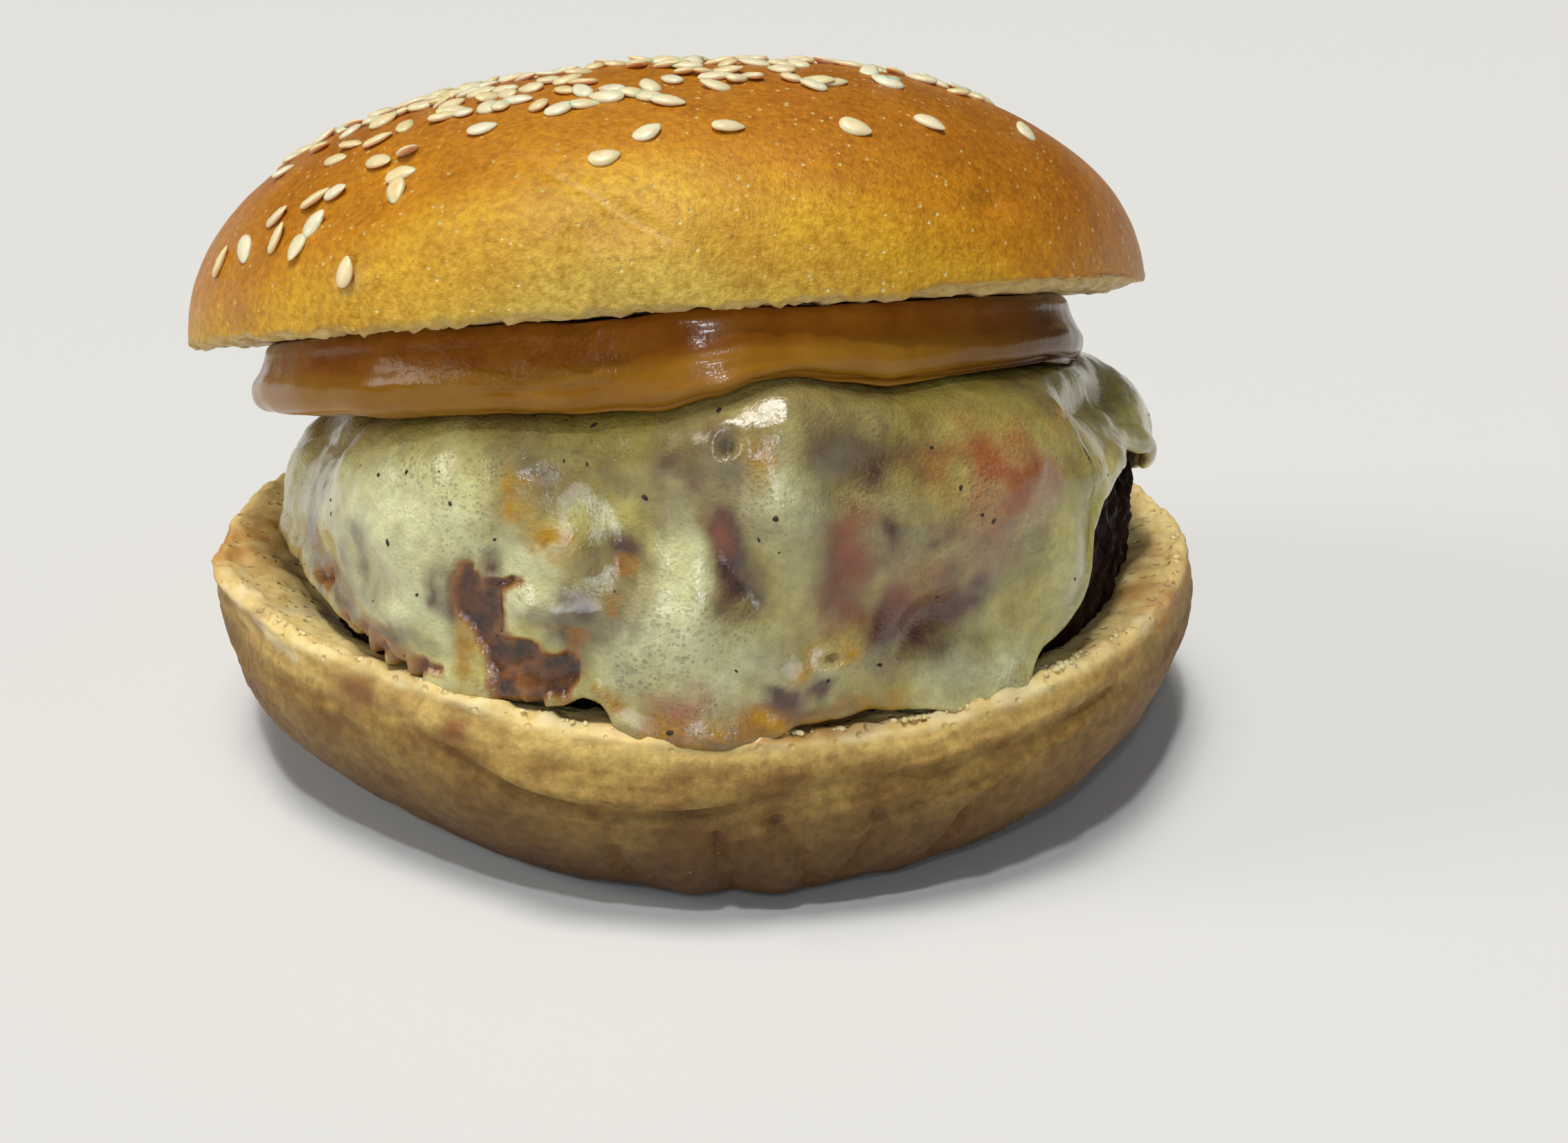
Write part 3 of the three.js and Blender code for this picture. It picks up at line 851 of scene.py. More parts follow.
def make_cheese():
    theta, bearing = columns(520)
    section = side_grid(theta, 0, CHEESE_STATIONS)
    z = section[..., 1]
    plain = swept(theta, section, FILLING)

    front = 1 - ease(np.abs(swing(bearing, -96)), 60, 76)
    swell = total(CHEESE_SWELLS, bearing, z) + 0.9 * stroke(bearing, z, CHEESE_FOLD, 2.0)
    crater = spot(bearing, z, (-87, 44.6), 1.5, 1.2)
    swell += 2.4 * crater * (1 - crater) - 0.8 * crater**3
    pit = spot(bearing, z, (-75.6, 25.8), 1.0, 0.8)
    swell += 1.9 * pit * (1 - pit) - 1.2 * pit**3
    loose = 1.1 * lumps(plain, 13, 83) + 0.5 * lumps(plain, 6, 84)
    drawn_down = plain * (1, 1, 0.5)
    bent = bearing + 1.9 * rough(drawn_down, 3.0, 97)
    bent_z = z + 1.2 * rough(plain, 3.0, 99)
    scorch = 1.1 * total(SCORCH, bent, bent_z) + 0.34 * rough(drawn_down, 1.5, 98)
    scorch = np.clip(scorch, 0, 1) * ease(total(SCORCH, bearing, z), 0.02, 0.2)
    height = 1.25 * swell * front + loose * (1 - 0.8 * front) - 0.75 * ease(scorch, 0.3, 0.9)
    height += total(FILLING_DENTS, bearing, z) * ease(section[..., 0], 38, 43)
    height += 0.25 * lumps(plain, 4.2, 85) + 0.08 * rough(plain, 1.6, 86, 2)
    edge = around(CHEESE_EDGE, bearing) + 0.2 * lumps(np.stack([bearing * FILLING_ARC] * 3, -1), 3.1, 81)
    height += 0.45 * ease(2.4 - (z - edge), 0, 2) + 1.1 * ease(20.8 - z, 0, 2.6)
    height *= ease(section[..., 0], 20, 33)
    out = -facing(plain)  # these stations run down the outside
    outside = plain + out * height[..., None]
    thickness = CHEESE_THICKNESS + 0.2 * lumps(plain, 5, 88)
    lining = swept(theta, side_grid(theta, CHEESE_THICKNESS, CHEESE_STATIONS), FILLING)
    inside = lining + out * (height + CHEESE_THICKNESS - thickness)[..., None]

    end = cut_off(z, edge)
    steps = np.concatenate([np.linspace(0, 0.42, 12), np.linspace(0.43, 1, 128)])[None, :]
    outer = picked(outside, end * steps)
    inner = picked(inside, end * np.concatenate([np.linspace(0, 0.6, 8), np.linspace(0.64, 1, 24)])[None, :])
    last_outer, last_inner = outer[:, -1:], inner[:, -1:]
    middle, half = (last_outer + last_inner) / 2, (last_outer - last_inner) / 2
    down = outer[:, -1:] - outer[:, -3:-2]
    down /= np.linalg.norm(down, axis=-1, keepdims=True) + 1e-9
    size = np.linalg.norm(half, axis=-1, keepdims=True)
    turns = np.linspace(math.pi, 0, 9)[1:-1][None, :, None]
    lip = middle + half * np.cos(turns) + down * size * np.sin(turns)
    points = np.concatenate([inner, lip, outer[:, ::-1]], axis=1)

    def spread(values):
        """A mask of the outer face, carried round the lip and over the inside."""
        shown = picked(np.broadcast_to(values, z.shape), end * steps)
        hidden = np.repeat(shown[:, -1:], inner.shape[1] + lip.shape[1], 1)
        return np.concatenate([hidden, shown[:, ::-1]], axis=1)

    uneven = 0.95 + 0.4 * rough(plain, 2.6, 91)
    behind = stain(MEAT_BEHIND, bent, bent_z) * uneven + 0.4 * ease(rough(plain, 8, 92), 0.0, 0.9)
    froth = spot(bearing, z, (-91.5, 27.5), 4.4, 5)
    streaky = 0.6 + 0.8 * ease(rough(plain, 1.3, 93), -0.2, 0.5)
    marks = {
        "behind": spread(behind),
        "scorched": spread(scorch),
        "pale": spread(stain(CHEESE_PALE, bent, bent_z) * uneven),
        "blush": spread(stain(CHEESE_BLUSH, bent, bent_z) * uneven),
        "oil": spread(stain(CHEESE_OIL, bent, bent_z) * streaky),
        "bubbly": spread(froth + 0.7 * ease(rough(plain, 5, 94), 0, 0.6)),
        "crest": spread(0.5 + 0.4 * height),
        "shaded": spread(
            ease(z - layer_top(theta, section[..., 0], 0), -16, -6)
            + 0.6 * bell(bearing, -84, 24)
            + 0.2 * (1 - ease(z, 20, 30))
            + 0.5 * ease(swing(bearing, -76), 0, 34)
        ),
    }
    return ring_piece("cheese_melt", points, marks)


def melted_cheese():
    material, tree, shader = new_finish(
        "greasy melted cheese",
        Subsurface_Weight=0.10,
        Subsurface_Scale=0.001,
        Subsurface_Radius=(1.0, 0.75, 0.35),
        Coat_Weight=1.0,
        Coat_Roughness=0.09,
        Specular_IOR_Level=0.25,
    )
    body = mottled(tree, 8.0, (0.67, 0.615, 0.21), (0.44, 0.36, 0.09), 0.13)
    milky = blend(tree, marked(tree, "crest", 0.5, 1.0, 0.0, 0.55), body, (0.72, 0.71, 0.42, 1))
    shaded = stained(tree, milky, "shaded", 0.76, (0.28, 0.218, 0.03))
    veil = mottled(tree, 2.2, (0.13, 0.058, 0.034), (0.045, 0.016, 0.011), 0.2)
    thick = stained(tree, shaded, "pale", 0.8, (0.72, 0.72, 0.42))
    colour = blend(tree, mark(tree, "behind"), thick, veil)
    colour = stained(tree, colour, "blush", 0.9, (0.30, 0.068, 0.016))
    colour = stained(tree, colour, "oil", 1.0, (0.44, 0.225, 0.008))
    fringe = marked(tree, "scorched", 0.02, 0.4, 0.0, 0.75)
    colour = blend(tree, fringe, colour, (0.40, 0.18, 0.02, 1))
    charred = mottled(tree, 1.5, (0.16, 0.046, 0.006), (0.020, 0.006, 0.003), 0.16, 0.52)
    burnt = blend(tree, marked(tree, "scorched", 0.45, 1.0), (0.27, 0.095, 0.012, 1), charred)
    colour = blend(tree, marked(tree, "scorched", 0.12, 0.7), colour, burnt)
    frothy = scaled(tree, pored(tree, 0.42, 0.85, 0.3), mark(tree, "bubbly"))
    colour = blend(tree, scaled(tree, frothy, 0.42), colour, (0.16, 0.14, 0.09, 1))
    curdy = mottled(tree, 1.3, (1.1, 1.1, 1.08), (0.82, 0.80, 0.76), 0.16)
    colour = times(tree, colour, curdy)
    finished(tree, shader, colour, uneven_sheen(tree, 3.0, 0.15, 0.2, 0.42))
    pitted = sums(tree, "SUBTRACT", grainy(tree, 0.4, 1.5, 0.45), scaled(tree, frothy, 0.3))
    relief(tree, shader, pitted, 0.42, coat_share=0.17)
    return material


# ---- the sauce


def sauce_radius(theta):
    return wavy(theta, SAUCE_RADIUS, (SAUCE_SHIFT, 1, math.pi), (0.4, 4, 0.8), (0.3, 7, 2.2))


def make_sauce():
    theta, bearing = columns(420)
    outer = sauce_radius(theta)
    contact = np.minimum(0.87 * cheese_radius(theta), outer - 1.6)
    share = np.sqrt(2 / math.pi * np.arcsin((contact / (cheese_radius(theta) + 0.2)) ** (SHOULDER_POWER / 2)))
    under = filling_side(theta, share * np.linspace(0, 1, 14)[None, :], -0.2)
    hang = np.minimum(layer_top(theta, outer, around(SAUCE_EDGE, bearing)), under[:, -1:, 1] + 3.2)
    under[:, -1:, 1] = np.maximum(under[:, -1:, 1], hang - 0.8)
    lid = layer_top(theta, outer - 2.4, 0.15)
    tall = lid - hang
    stations = [
        (under[:, -1:, 0], under[:, -1:, 1]),
        (0.45 * contact + 0.55 * outer, 0.4 * under[:, -1:, 1] + 0.6 * hang - 0.2),
        (outer - 1.1, hang - 0.15),
        (outer - 0.3, hang + 0.45),
        (outer, hang + 0.20 * tall),
        (outer - 0.15, hang + 0.38 * tall),
        (outer - 0.9, hang + 0.55 * tall),
        (outer - 1.5, hang + 0.74 * tall),
        (outer - 1.9, hang + 0.92 * tall),
        (outer - 2.6, lid),
        (outer - 5, layer_top(theta, outer - 5, 0.15)),
    ]
    wall = fair(through(theta, stations), [5, 5, 6, 7, 8, 8, 8, 6, 5, 4])
    top_radius = (outer - 5) * np.linspace(1, 0, 12)[None, 1:]
    top = np.stack([top_radius, layer_top(theta, top_radius, 0.15)], -1)
    section = np.concatenate([under[:, :-1], wall, top], axis=1)
    points = swept(theta, section, FILLING)
    showing = ease(section[..., 0], outer - 7, outer - 3)
    height = 0.35 * lumps(points, 9, 101) + 0.12 * lumps(points, 3.5, 102)
    wrinkled = bell(bearing, -112, 14)
    stretched = points * (0.6, 0.6, 2.2)
    height = height + wrinkled * 0.16 * rough(stretched, 2.6, 103, 2)
    drop = (section[..., 1] - hang) / tall
    lip = bell(bearing, -86, 8) * np.exp(-(((drop - 0.12) / 0.09) ** 2))
    points = raised(points, (height + 0.6 * lip) * showing)
    # Brown in the band under the crown and towards the right: painted shadow of the crown, and painted shade
    # on the right.
    painted_sauce_shade = ease(drop, 0.42, 0.6) + 0.7 * ease(swing(bearing, -75), 15, 55)
    marks = {
        "painted_sauce_shade": painted_sauce_shade + 0.12 * lumps(points, 4, 104),
        "wrinkled": wrinkled * showing * ease(drop, 0.2, 0.4),
        # Darker towards the right and round the back: painted shade.
        "right_side_shade": ease(swing(bearing, -80), 12, 52),
    }
    return ring_piece("sauce_layer", points, marks)


def burger_sauce():
    material, tree, shader = new_finish(
        "wet burger sauce",
        Subsurface_Weight=0.08,
        Subsurface_Scale=0.0015,
        Subsurface_Radius=(1.0, 0.6, 0.25),
        Coat_Weight=0.22,
        Coat_Roughness=0.08,
        Specular_IOR_Level=0.18,
    )
    tan = mottled(tree, 6.0, (0.35, 0.158, 0.012), (0.26, 0.105, 0.006), 0.2)
    # brown is a shaded copy of the tan sauce: painted shadow under the crown and painted shade on the right.
    brown = mottled(tree, 5.0, (0.30, 0.10, 0.004), (0.19, 0.05, 0.002), 0.2)
    colour = blend(tree, mark(tree, "painted_sauce_shade"), tan, brown)
    # Painted shade on the right side of the sauce.
    colour = stained(tree, colour, "right_side_shade", 0.85, (0.08, 0.026, 0.002))
    colour = flecked(tree, colour, (2.6, 0.10, 0.03), 0.8, (0.10, 0.03, 0.01))
    finished(tree, shader, colour, uneven_sheen(tree, 5.0, 0.2, 0.16, 0.34))
    ridges = marked(tree, "wrinkled", 0.2, 0.8, 0.4, 2.0)
    relief(tree, shader, scaled(tree, grainy(tree, 0.9, 3.0, 0.6), ridges), 0.3)
    return material


# ---- the crown

# Creases in the crown's skin: a path of bearings and heights, the width and the depth.
CROWN_CREASES = [
    ([(-98, 12.6), (-94, 10.6), (-90.5, 8.6), (-86.5, 6.2)], 0.34, 0.5),
    ([(-100, 12.9), (-97, 12.6), (-95, 12.2)], 0.5, 0.3),
    ([(-92, 8.6), (-89.6, 8.0)], 0.8, 0.16),
    ([(-96, 7.2), (-96.4, 4.8), (-95.8, 2.0)], 0.5, 0.4),
    ([(-120.5, 6.4), (-120.2, 3.6), (-119.4, 0)], 0.32, 0.75),
    ([(-131, 11.0), (-125, 11.6), (-119, 10.6), (-114, 9.8)], 1.2, 0.45),
    ([(-127, 9.6), (-122, 9.2)], 0.6, 0.3),
    ([(-60.5, 3.4), (-60, 1.6), (-60.8, 0)], 0.45, 0.35),
    ([(-104, 14.4), (-99, 13.6)], 0.5, 0.2),
]
# Wide swellings and hollows: bearing and height, width, height, depth.
CROWN_DENTS = [
    (-48, 8.4, 2.2, 1.3, -0.9), (-121, 13.4, 9, 3, -0.9), (-106, 8, 9, 5, 0.5), (-92, 7.6, 3, 2.2, -0.4),
]


def crown_radius(theta):
    return wavy(theta, CROWN_RADIUS, (0.5, 2, 0.2), (0.4, 3, 1.1), (0.2, 5, 2.4))


def dome(theta, angle):
    """Radius and height on the dome: angle is 0 at the rim and a quarter turn at the top."""
    power = 2 / CROWN_POWER
    out = crown_radius(theta) * np.cos(angle).clip(0) ** power
    return np.stack(np.broadcast_arrays(out, CROWN_HEIGHT * np.sin(angle) ** power), -1)


def dome_relief(points, bearing, height, radius):
    """How far the crust stands out from the plain dome."""
    out = 0.45 * lumps(points, 26, 111) + 0.22 * lumps(points, 11, 112)
    out += 0.035 * rough(points, 2.6, 113)
    for path, width, depth in CROWN_CREASES:
        out -= depth * stroke(bearing, height, path, width, CROWN_ARC)
    return (out + total(CROWN_DENTS, bearing, height, CROWN_ARC)) * ease(radius, 2, 8)


def make_crown():
    theta, bearing = columns(520)
    radius = crown_radius(theta)
    face_radius = radius * np.concatenate([np.linspace(0, 0.86, 10), np.linspace(0.88, 0.985, 14)])[None, :]
    face = np.stack([face_radius, np.zeros_like(face_radius)], -1)
    angle = math.pi / 2 * np.concatenate([np.linspace(0.006, 0.1, 16), np.linspace(0.106, 1, 104)])[None, :]
    section = np.concatenate([face, dome(theta, angle)], axis=1)
    points = swept(theta, section)
    r, w = section[..., 0], section[..., 1]
    over = (np.arange(r.shape[1]) >= face_radius.shape[1]).astype(float)[None, :]
    height = over * dome_relief(points, bearing, w, r)
    crumb = (1 - over) * ease(r / radius, 0.86, 0.9)
    height += crumb * (0.3 * rough(points, 1.8, 121) - 0.3 * clumps(points, 1.4, 122)[0])
    points = raised(points, height)
    torn = ease(swing(bearing, -172), 0, 6) * (1 - ease(swing(bearing, -62), 0, 3))
    torn *= np.abs(swing(bearing, -110)) < 80
    rim = np.exp(-((w / 1.3) ** 2)) * ease(r / radius, 0.93, 0.985)
    edge = 0.34 * rough(points * (1, 1, 0), 1.7, 123) + 0.22 * lumps(points * (1, 1, 0), 0.7, 124)
    points[..., 2] += rim * ((0.25 + 0.75 * torn) * edge + 0.9 * (1 - torn) * ease(swing(bearing, -62), 0, 4))
    points[..., 2] -= rim * 0.5 * bell(bearing, -119.5, 0.9)

    patchy = rough(points, 9, 131)
    # Browner at the sides and round the back, and more on the right: partly browner crust, partly painted
    # shade.
    browner_sides_and_shade = 0.42 * (1 - bell(bearing, -92, 30)) + 0.26 * ease(swing(bearing, -60), 0, 30)
    worn = 0.7 * spot(bearing, w, (-120.6, 4.6), 1.4, 1.0, CROWN_ARC)
    marks = {
        "baked_and_shaded": w / CROWN_HEIGHT + 0.05 * patchy + browner_sides_and_shade,
        "crumb": 1 - over + 0.6 * rim * torn * ease(w, 0.9, 0.1),
        "pale": worn + 0.5 * stroke(bearing, w, CROWN_CREASES[0][0], 0.3, CROWN_ARC),
    }
    return ring_piece("crown_bread", seated(points), marks)


def crown_crust():
    material, tree, shader = new_finish(
        "glazed crown crust",
        Coat_Weight=0.2,
        Coat_Roughness=0.2,
        Specular_IOR_Level=0.14,
        Subsurface_Weight=0.05,
        Subsurface_Scale=0.0015,
    )
    # Colour from the pale low rim up to the baked top; the browner sides and right are partly painted shade.
    baked_and_shaded = mark(tree, "baked_and_shaded")
    ramp = tree.nodes.new("ShaderNodeValToRGB")
    tree.links.new(baked_and_shaded, ramp.inputs["Fac"])
    bands = ramp.color_ramp.elements
    bands[0].color, bands[1].color = (0.50, 0.34, 0.062, 1), (0.40, 0.14, 0.005, 1)
    for position, colour in (
        (0.10, (0.53, 0.35, 0.05, 1)),
        (0.24, (0.55, 0.31, 0.027, 1)),
        (0.42, (0.57, 0.31, 0.016, 1)),
        (0.62, (0.50, 0.205, 0.007, 1)),
    ):
        bands.new(position).color = colour
    blotches = mottled(tree, 7.0, (1.12, 1.16, 1.2), (0.86, 0.80, 0.7), 0.2)
    fine = mottled(tree, 0.8, (1.22, 1.27, 1.5), (0.80, 0.72, 0.52), 0.17)
    colour = times(tree, times(tree, ramp.outputs["Color"], blotches), fine)
    colour = flecked(tree, colour, (0.8, 0.42, 0.14), 0.65, (0.88, 0.66, 0.24))
    colour = stained(tree, colour, "pale", 0.6, (0.78, 0.60, 0.26))
    crumb = mottled(tree, 1.6, (0.74, 0.56, 0.24), (0.55, 0.36, 0.11), 0.15)
    colour = blend(tree, mark(tree, "crumb"), colour, crumb)
    sheen = scaled(tree, clouded(tree, 2.5, 0.2), 0.12)
    finished(tree, shader, colour, sums(tree, "ADD", between(tree, baked_and_shaded, 0.1, 0.7, 0.52, 0.34), sheen))
    holes = scaled(tree, pored(tree, 0.8, 0.35, 0.2, "Height"), 0.45)
    relief(tree, shader, sums(tree, "ADD", grainy(tree, 0.45, 1.5, 0.35), holes), 0.4)
    return material


# ---- seeds, crumbs and flecks

SEED_SIZE = (3.1, 2.05, 0.72)
SEED_COUNT = 470
SEED_TRIES = 14000
SEED_SPACING = 1.36
SEED_LEAN = 0.15
SEED_REACH = 33.5  # how far from the crown's middle they lie thickly
SEED_LIMIT = 47  # and how far the last of them lie
# Bearing and distance from the crown's middle, and the way the seed points.
STRAY_SEEDS = [
    (-93, 44, 12), (-88, 41.4, 42), (-78, 41, -10), (-62, 42, -35), (-50, 41.6, -50), (-29, 42, 60),
    (-85, 36.6, -30), (-110, 39.6, 25), (-97, 36.2, 0), (-149, 48.2, 80), (-142, 47.9, -60),
    (-135, 47.7, 85), (-130, 48.4, -75), (-129, 47.2, 70), (-131.5, 45.2, 60), (-128.5, 44.8, 20),
    (-118, 45.6, -80), (-119, 43.8, 20), (-124, 42.2, -15), (-120, 41.4, 15), (-134, 41, 5),
    (-134, 39, -15), (-121, 49.6, 85),
]


def blob(rings, sides):
    """Unit ball as verts and faces: rings bands from one end to the other."""
    verts = [(-1.0, 0.0, 0.0)]
    for i in range(1, rings):
        a = math.pi * i / rings
        for j in range(sides):
            b = 2 * math.pi * j / sides
            verts.append((-math.cos(a), math.sin(a) * math.cos(b), math.sin(a) * math.sin(b)))
    verts.append((1.0, 0.0, 0.0))
    faces = [(0, 1 + (j + 1) % sides, 1 + j) for j in range(sides)]
    for i in range(rings - 2):
        for j in range(sides):
            a, b = 1 + i * sides + j, 1 + i * sides + (j + 1) % sides
            faces.append((a, b, b + sides, a + sides))
    end, first = len(verts) - 1, 1 + (rings - 2) * sides
    faces += [(end, first + j, first + (j + 1) % sides) for j in range(sides)]
    return np.array(verts), faces


def scatter(name, parts, marks=None):
    """One piece from many small shapes, each given as verts and faces."""
    verts, faces, start = [], [], 0
    for part_verts, part_faces in parts:
        verts.append(part_verts)
        faces += [tuple(start + k for k in face) for face in part_faces]
        start += len(part_verts)
    return add_mesh(name, np.concatenate(verts), faces, marks)


def crown_spot(bearing, radius):
    """A point on the crust and its outward direction, in the crown's own frame."""
    def at(b, r):
        theta = np.array([[math.radians(b)]])
        full = crown_radius(theta)[0, 0]
        angle = math.acos(min(1, r / full) ** (CROWN_POWER / 2))
        section = dome(theta, np.array([[angle]]))
        point = swept(theta, section)
        out = dome_relief(point, np.array([[b]]), section[..., 1], section[..., 0])[0, 0]
        return point[0, 0], out

    here, out = at(bearing, radius)
    across = at(bearing + 0.6, radius)[0] - here
    inward = at(bearing, radius - 0.5)[0] - here
    normal = np.cross(across, inward)
    normal /= np.linalg.norm(normal)
    return here + normal * out, normal


def lay(verts, point, normal, yaw):
    """Small shape laid flat on a surface, its long way turned by yaw."""
    up = Vector(normal)
    turn = up.to_track_quat("Z", "Y").to_matrix() @ Matrix.Rotation(yaw, 3, "Z")
    return verts @ np.array(turn).T + np.array(point)


def seed_shape(dice):
    """One hulled sesame seed: a flat drop, pointed at one end."""
    verts, faces = blob(8, 9)
    x = verts[:, :1]
    grow = 1 + dice.uniform(-0.1, 0.12)
    length, width, thick = (size * grow / 2 for size in SEED_SIZE)
    taper = 1 - 0.20 * x - 0.08 * x**2
    shaped = verts * (length, width * dice.uniform(0.88, 1.1), thick)
    shaped[:, 1:] *= taper
    shaped[:, 2] *= 1 + 0.12 * np.sin(4 * shaped[:, 0])
    shaped[:, 1] += dice.uniform(-0.08, 0.08) * shaped[:, 0] ** 2
    return shaped, faces


def flat(bearing, radius):
    """A bearing and a distance as x and y."""
    return radius * math.cos(math.radians(bearing)), radius * math.sin(math.radians(bearing))


def make_seeds():
    dice = random.Random(20)
    laid = [(b, r, math.radians(yaw)) for b, r, yaw in STRAY_SEEDS]
    taken = [flat(b, r) for b, r, _ in laid]
    tries = 0
    while len(laid) < SEED_COUNT and tries < SEED_TRIES:
        tries += 1
        r, b = SEED_LIMIT * math.sqrt(dice.random()), dice.uniform(-180, 180)
        toward_left = 0.5 - 0.5 * math.cos(math.radians(b - 35))
        reach = SEED_REACH + 3.0 * toward_left
        chance = 1.0 if r < reach else 0.9 * math.exp(-(((r - reach) / 2.6) ** 2)) + 0.02
        if r > reach + 1 and -125 < b < -20:
            chance = 0
        x, y = flat(b, r)
        if dice.random() < chance and all(math.hypot(x - p, y - q) > SEED_SPACING for p, q in taken):
            laid.append((b, r, dice.uniform(0, math.pi)))
            taken.append((x, y))
    parts, tints = [], []
    for b, r, yaw in laid:
        shape, faces = seed_shape(dice)
        point, normal = crown_spot(b, r)
        lean = np.array([dice.gauss(0, SEED_LEAN), dice.gauss(0, SEED_LEAN), 0])
        out = normal + lean
        placed = lay(shape, point + normal * dice.uniform(0.12, 0.3), out / np.linalg.norm(out), yaw)
        parts.append((seated(placed), faces))
        tints += [dice.random()] * len(shape)
    return scatter("sesame_seeds", parts, {"tint": tints})


def sesame():
    material, tree, shader = new_finish(
        "hulled sesame", Subsurface_Weight=0.6, Subsurface_Scale=0.0014, Coat_Weight=0.3, Coat_Roughness=0.2
    )
    colour = blend(tree, mark(tree, "tint"), (0.80, 0.73, 0.54, 1), (0.80, 0.64, 0.34, 1))
    cloud = mottled(tree, 1.4, (1.08, 1.08, 1.1), (0.88, 0.84, 0.76), 0.2)
    colour = times(tree, colour, cloud)
    finished(tree, shader, colour, uneven_sheen(tree, 0.8, 0.2, 0.32, 0.5))
    relief(tree, shader, grainy(tree, 0.3, 0.9, 0.5), 0.08)
    return material


def chip(dice, size, flat=0.7):
    """A small uneven lump."""
    verts, faces = blob(4, 6)
    squash = np.array([dice.uniform(0.7, 1.2), dice.uniform(0.7, 1.2), dice.uniform(0.6, 1.0) * flat])
    jitter = np.array([[dice.uniform(0.72, 1.2)] for _ in verts])
    return verts * jitter * squash * size / 2, faces


# Where crumbs lie on the heel's rim: bearing, spread in degrees and number.
CRUMB_HEAPS = [
    (-66, 2.4, 110), (-60, 3, 50), (-47, 2.4, 70), (-80, 9, 90), (-100, 10, 50), (-40, 10, 60),
    (-140, 14, 50), (0, 22, 30), (60, 30, 34), (130, 30, 34),
]


def make_crumbs():
    dice = random.Random(31)
    parts = []
    for at, wide, count in CRUMB_HEAPS:
        for _ in range(count):
            b = at + dice.gauss(0, 0.5) * wide
            rim = float(around(HEEL_RIM, np.array([b]))[0])
            inward = abs(dice.gauss(0, 1.4))
            r = 0.967 * heel_radius(math.radians(b)) - inward
            z = rim - 0.35 * inward + 0.1
            verts, faces = chip(dice, 0.24 + 0.6 * dice.random() ** 2, 0.85)
            parts.append((lay(verts, (*flat(b, r), z), (0, 0, 1), dice.uniform(0, 6)), faces))
    return scatter("bread_crumbs", parts)


def crumb_bits():
    material, tree, shader = new_finish("loose bread crumb", Subsurface_Weight=0.1, Subsurface_Scale=0.001)
    colour = mottled(tree, 2.0, (0.92, 0.78, 0.42), (0.80, 0.60, 0.25), 0.15)
    finished(tree, shader, colour, uneven_sheen(tree, 1.0, 0.2, 0.55, 0.75))
    relief(tree, shader, grainy(tree, 0.3, 0.9, 0.5), 0.2)
    return material


PEPPER_STRAYS = 90
PEPPER_REACH = 2  # how far from its bearing and height a fleck may land
PEPPER_SPOTS = [
    (-141, 45), (-133, 45.4), (-103, 45.4), (-63, 43.8), (-88, 48), (-125, 33.6), (-57, 37), (-122, 29),
    (-129, 39), (-82, 40), (-96, 40), (-118, 38.4), (-70, 24.5), (-76, 23.8), (-93, 19.4), (-60, 40),
]


def make_pepper(cheese):
    """Black flecks lying on the melted cheese."""
    dice = random.Random(43)
    verts = np.empty(len(cheese.data.vertices) * 3)
    normals = np.empty_like(verts)
    cheese.data.vertices.foreach_get("co", verts)
    cheese.data.vertices.foreach_get("normal", normals)
    verts, normals = verts.reshape(-1, 3) / MM, normals.reshape(-1, 3)
    offset = verts - (FILLING[0], FILLING[1], 0)
    bearing = np.degrees(np.arctan2(offset[:, 1], offset[:, 0]))
    outside = (normals[:, :2] * offset[:, :2]).sum(1) > 0
    spots = PEPPER_SPOTS + [(dice.uniform(-180, 180), dice.uniform(22, 44)) for _ in range(PEPPER_STRAYS)]
    parts = []
    for index, (b, z) in enumerate(spots):
        miss = np.abs(swing(bearing, b)) * FILLING_ARC + np.abs(offset[:, 2] - z) + 50 * ~outside
        k = int(np.argmin(miss))
        if miss[k] > PEPPER_REACH:
            continue
        size = dice.uniform(0.32, 0.58) if index < len(PEPPER_SPOTS) else dice.uniform(0.14, 0.34)
        shape, faces = chip(dice, size, 0.35)
        shape[:, 0] *= 1.5
        parts.append((lay(shape, verts[k] + 0.03 * normals[k], normals[k], dice.uniform(0, 3)), faces))
    return scatter("pepper_flecks", parts)


def cracked_pepper():
    material, tree, shader = new_finish("cracked pepper", Specular_IOR_Level=0.4)
    colour = mottled(tree, 1.0, (0.05, 0.03, 0.02), (0.010, 0.008, 0.007), 0.2)
    finished(tree, shader, colour, uneven_sheen(tree, 0.6, 0.2, 0.4, 0.7))
    relief(tree, shader, grainy(tree, 0.2, 0.5, 0.5), 0.1)
    return material


# ---- the stage


FLOOR_SIZE = 6
FLOOR_GAP = 0.0002  # so that the floor and the heel's underside don't lie in one plane


def make_floor():
    bpy.ops.mesh.primitive_plane_add(size=FLOOR_SIZE, location=(0, 0, -FLOOR_GAP))
    floor = bpy.context.object
    floor.name = "floor"
    material, tree, shader = new_finish("pale floor", Roughness=0.7, Specular_IOR_Level=0.2)
    shader.inputs["Base Color"].default_value = (0.66, 0.66, 0.65, 1)
    floor.data.materials.append(material)


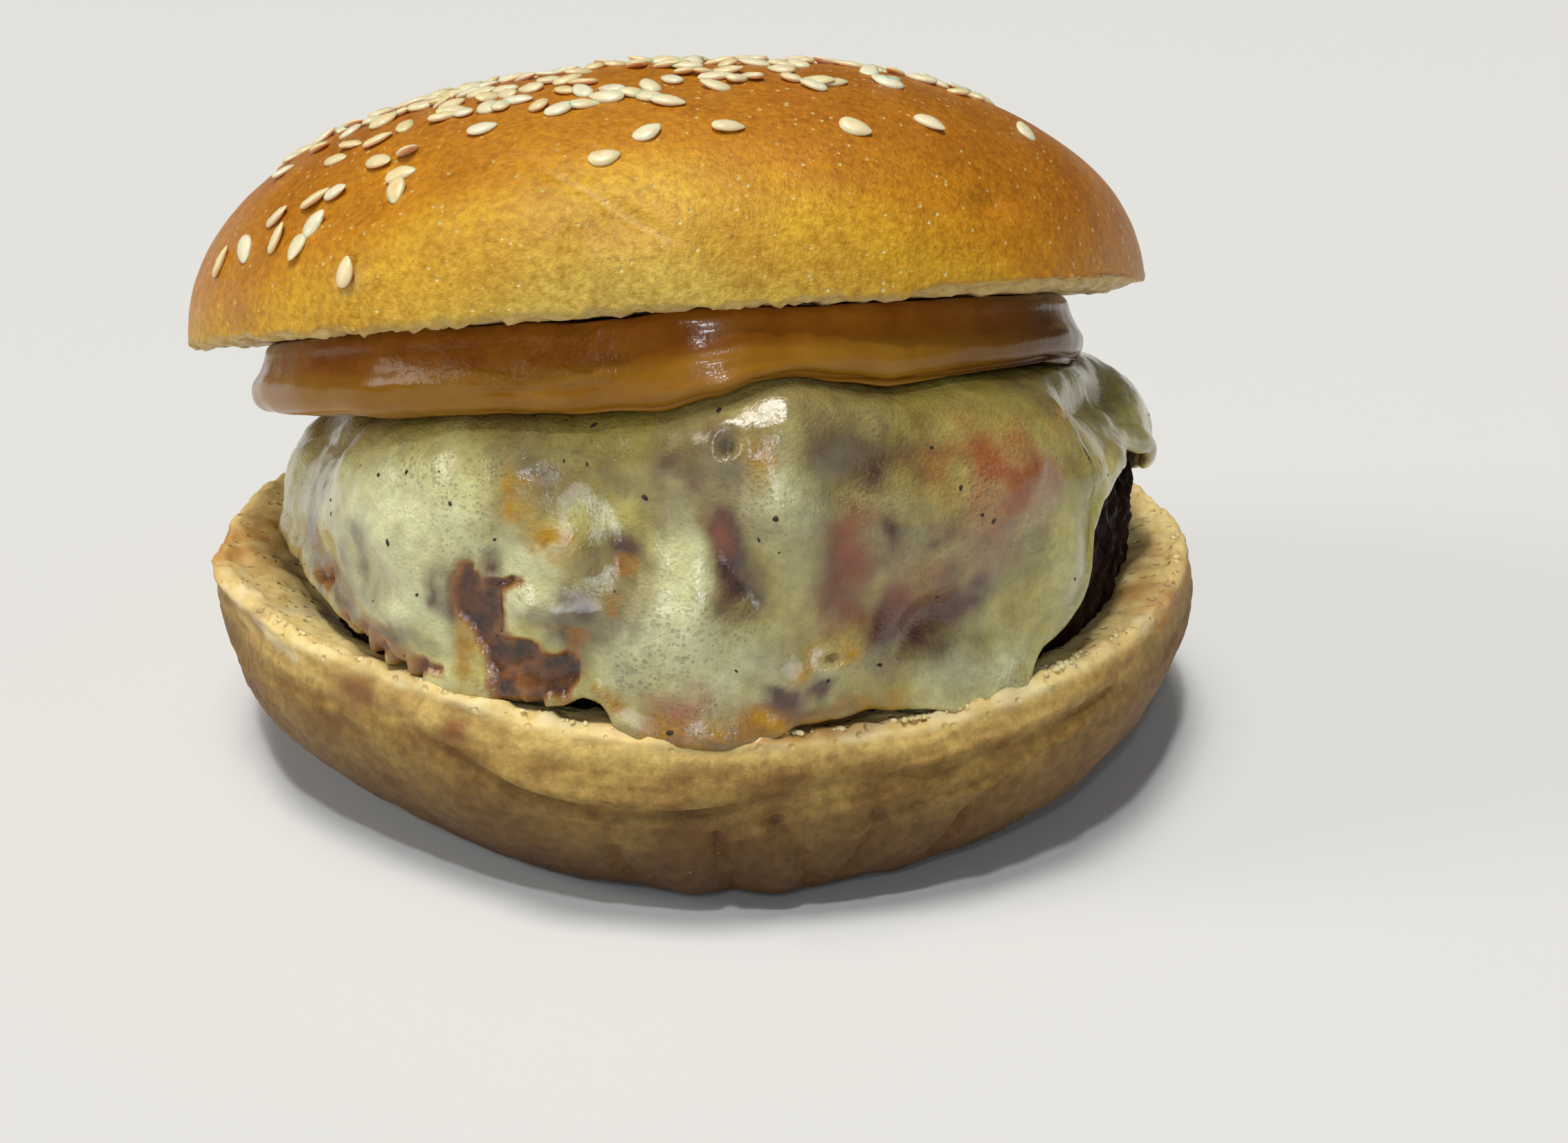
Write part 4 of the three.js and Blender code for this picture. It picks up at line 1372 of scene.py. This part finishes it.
# Even light from far off: the way to the light, its width in degrees, its strength and its colour.
LIGHTS = {
    "overhead": ((-0.14, -0.06, 1.0), 22, 2.2, (1.0, 0.96, 0.90)),
    "left": ((-0.95, -0.2, 0.5), 22, 0.7, (1.0, 0.95, 0.86)),
    "lamp": ((-0.09, -0.36, 0.9), 4, 0.9, (0.92, 0.96, 1.0)),
    "window": ((0.03, -0.92, 0.38), 4.5, 0.36, (0.76, 0.87, 1.0)),
    "bulb": ((-0.08, -0.80, 0.58), 3, 0.30, (0.85, 0.92, 1.0)),
    "screen": ((0.04, -0.98, 0.16), 4, 0.22, (0.74, 0.86, 1.0)),
}


def set_lights():
    world = bpy.data.worlds.new("soft room")
    bpy.context.scene.world = world
    world.use_nodes = True
    room = world.node_tree.nodes["Background"].inputs
    room["Color"].default_value = (1.0, 0.94, 0.84, 1)
    room["Strength"].default_value = 0.09
    for name, (direction, softness, strength, colour) in LIGHTS.items():
        light = bpy.data.lights.new(name, "SUN")
        light.angle = math.radians(softness)
        light.energy = strength
        light.color = colour
        holder = bpy.data.objects.new(name, light)
        holder.rotation_euler = Vector(direction).to_track_quat("Z", "Y").to_euler()
        bpy.context.scene.collection.objects.link(holder)


def set_camera():
    data = bpy.data.cameras.new("camera")
    camera = bpy.data.objects.new("camera", data)
    data.sensor_width = 36
    data.lens = 51.05
    data.clip_start = 0.005
    pitch, roll = math.radians(90 - 21.1), math.radians(1.31)
    turn = Matrix.Rotation(pitch, 4, "X") @ Matrix.Rotation(roll, 4, "Z")
    camera.matrix_world = Matrix.Translation((0.008, -0.232, 0.1045)) @ turn
    bpy.context.scene.collection.objects.link(camera)
    bpy.context.scene.camera = camera


bpy.context.scene.view_settings.view_transform = "Standard"

finish_piece(make_heel(), heel_bread(), "heel_bread", "bun_heel")
finish_piece(make_patty(), ground_meat(), "ground_beef", "beef_patty")
cheese = finish_piece(make_cheese(), melted_cheese(), "cheese", "melted_cheese")
finish_piece(make_sauce(), burger_sauce(), "sauce", "burger_sauce")
finish_piece(make_crown(), crown_crust(), "crown_crust", "bun_crown")
finish_piece(make_seeds(), sesame(), "crown_crust")
finish_piece(make_crumbs(), crumb_bits(), "heel_bread")
finish_piece(make_pepper(cheese), cracked_pepper(), "ground_beef")

make_floor()
set_lights()
set_camera()
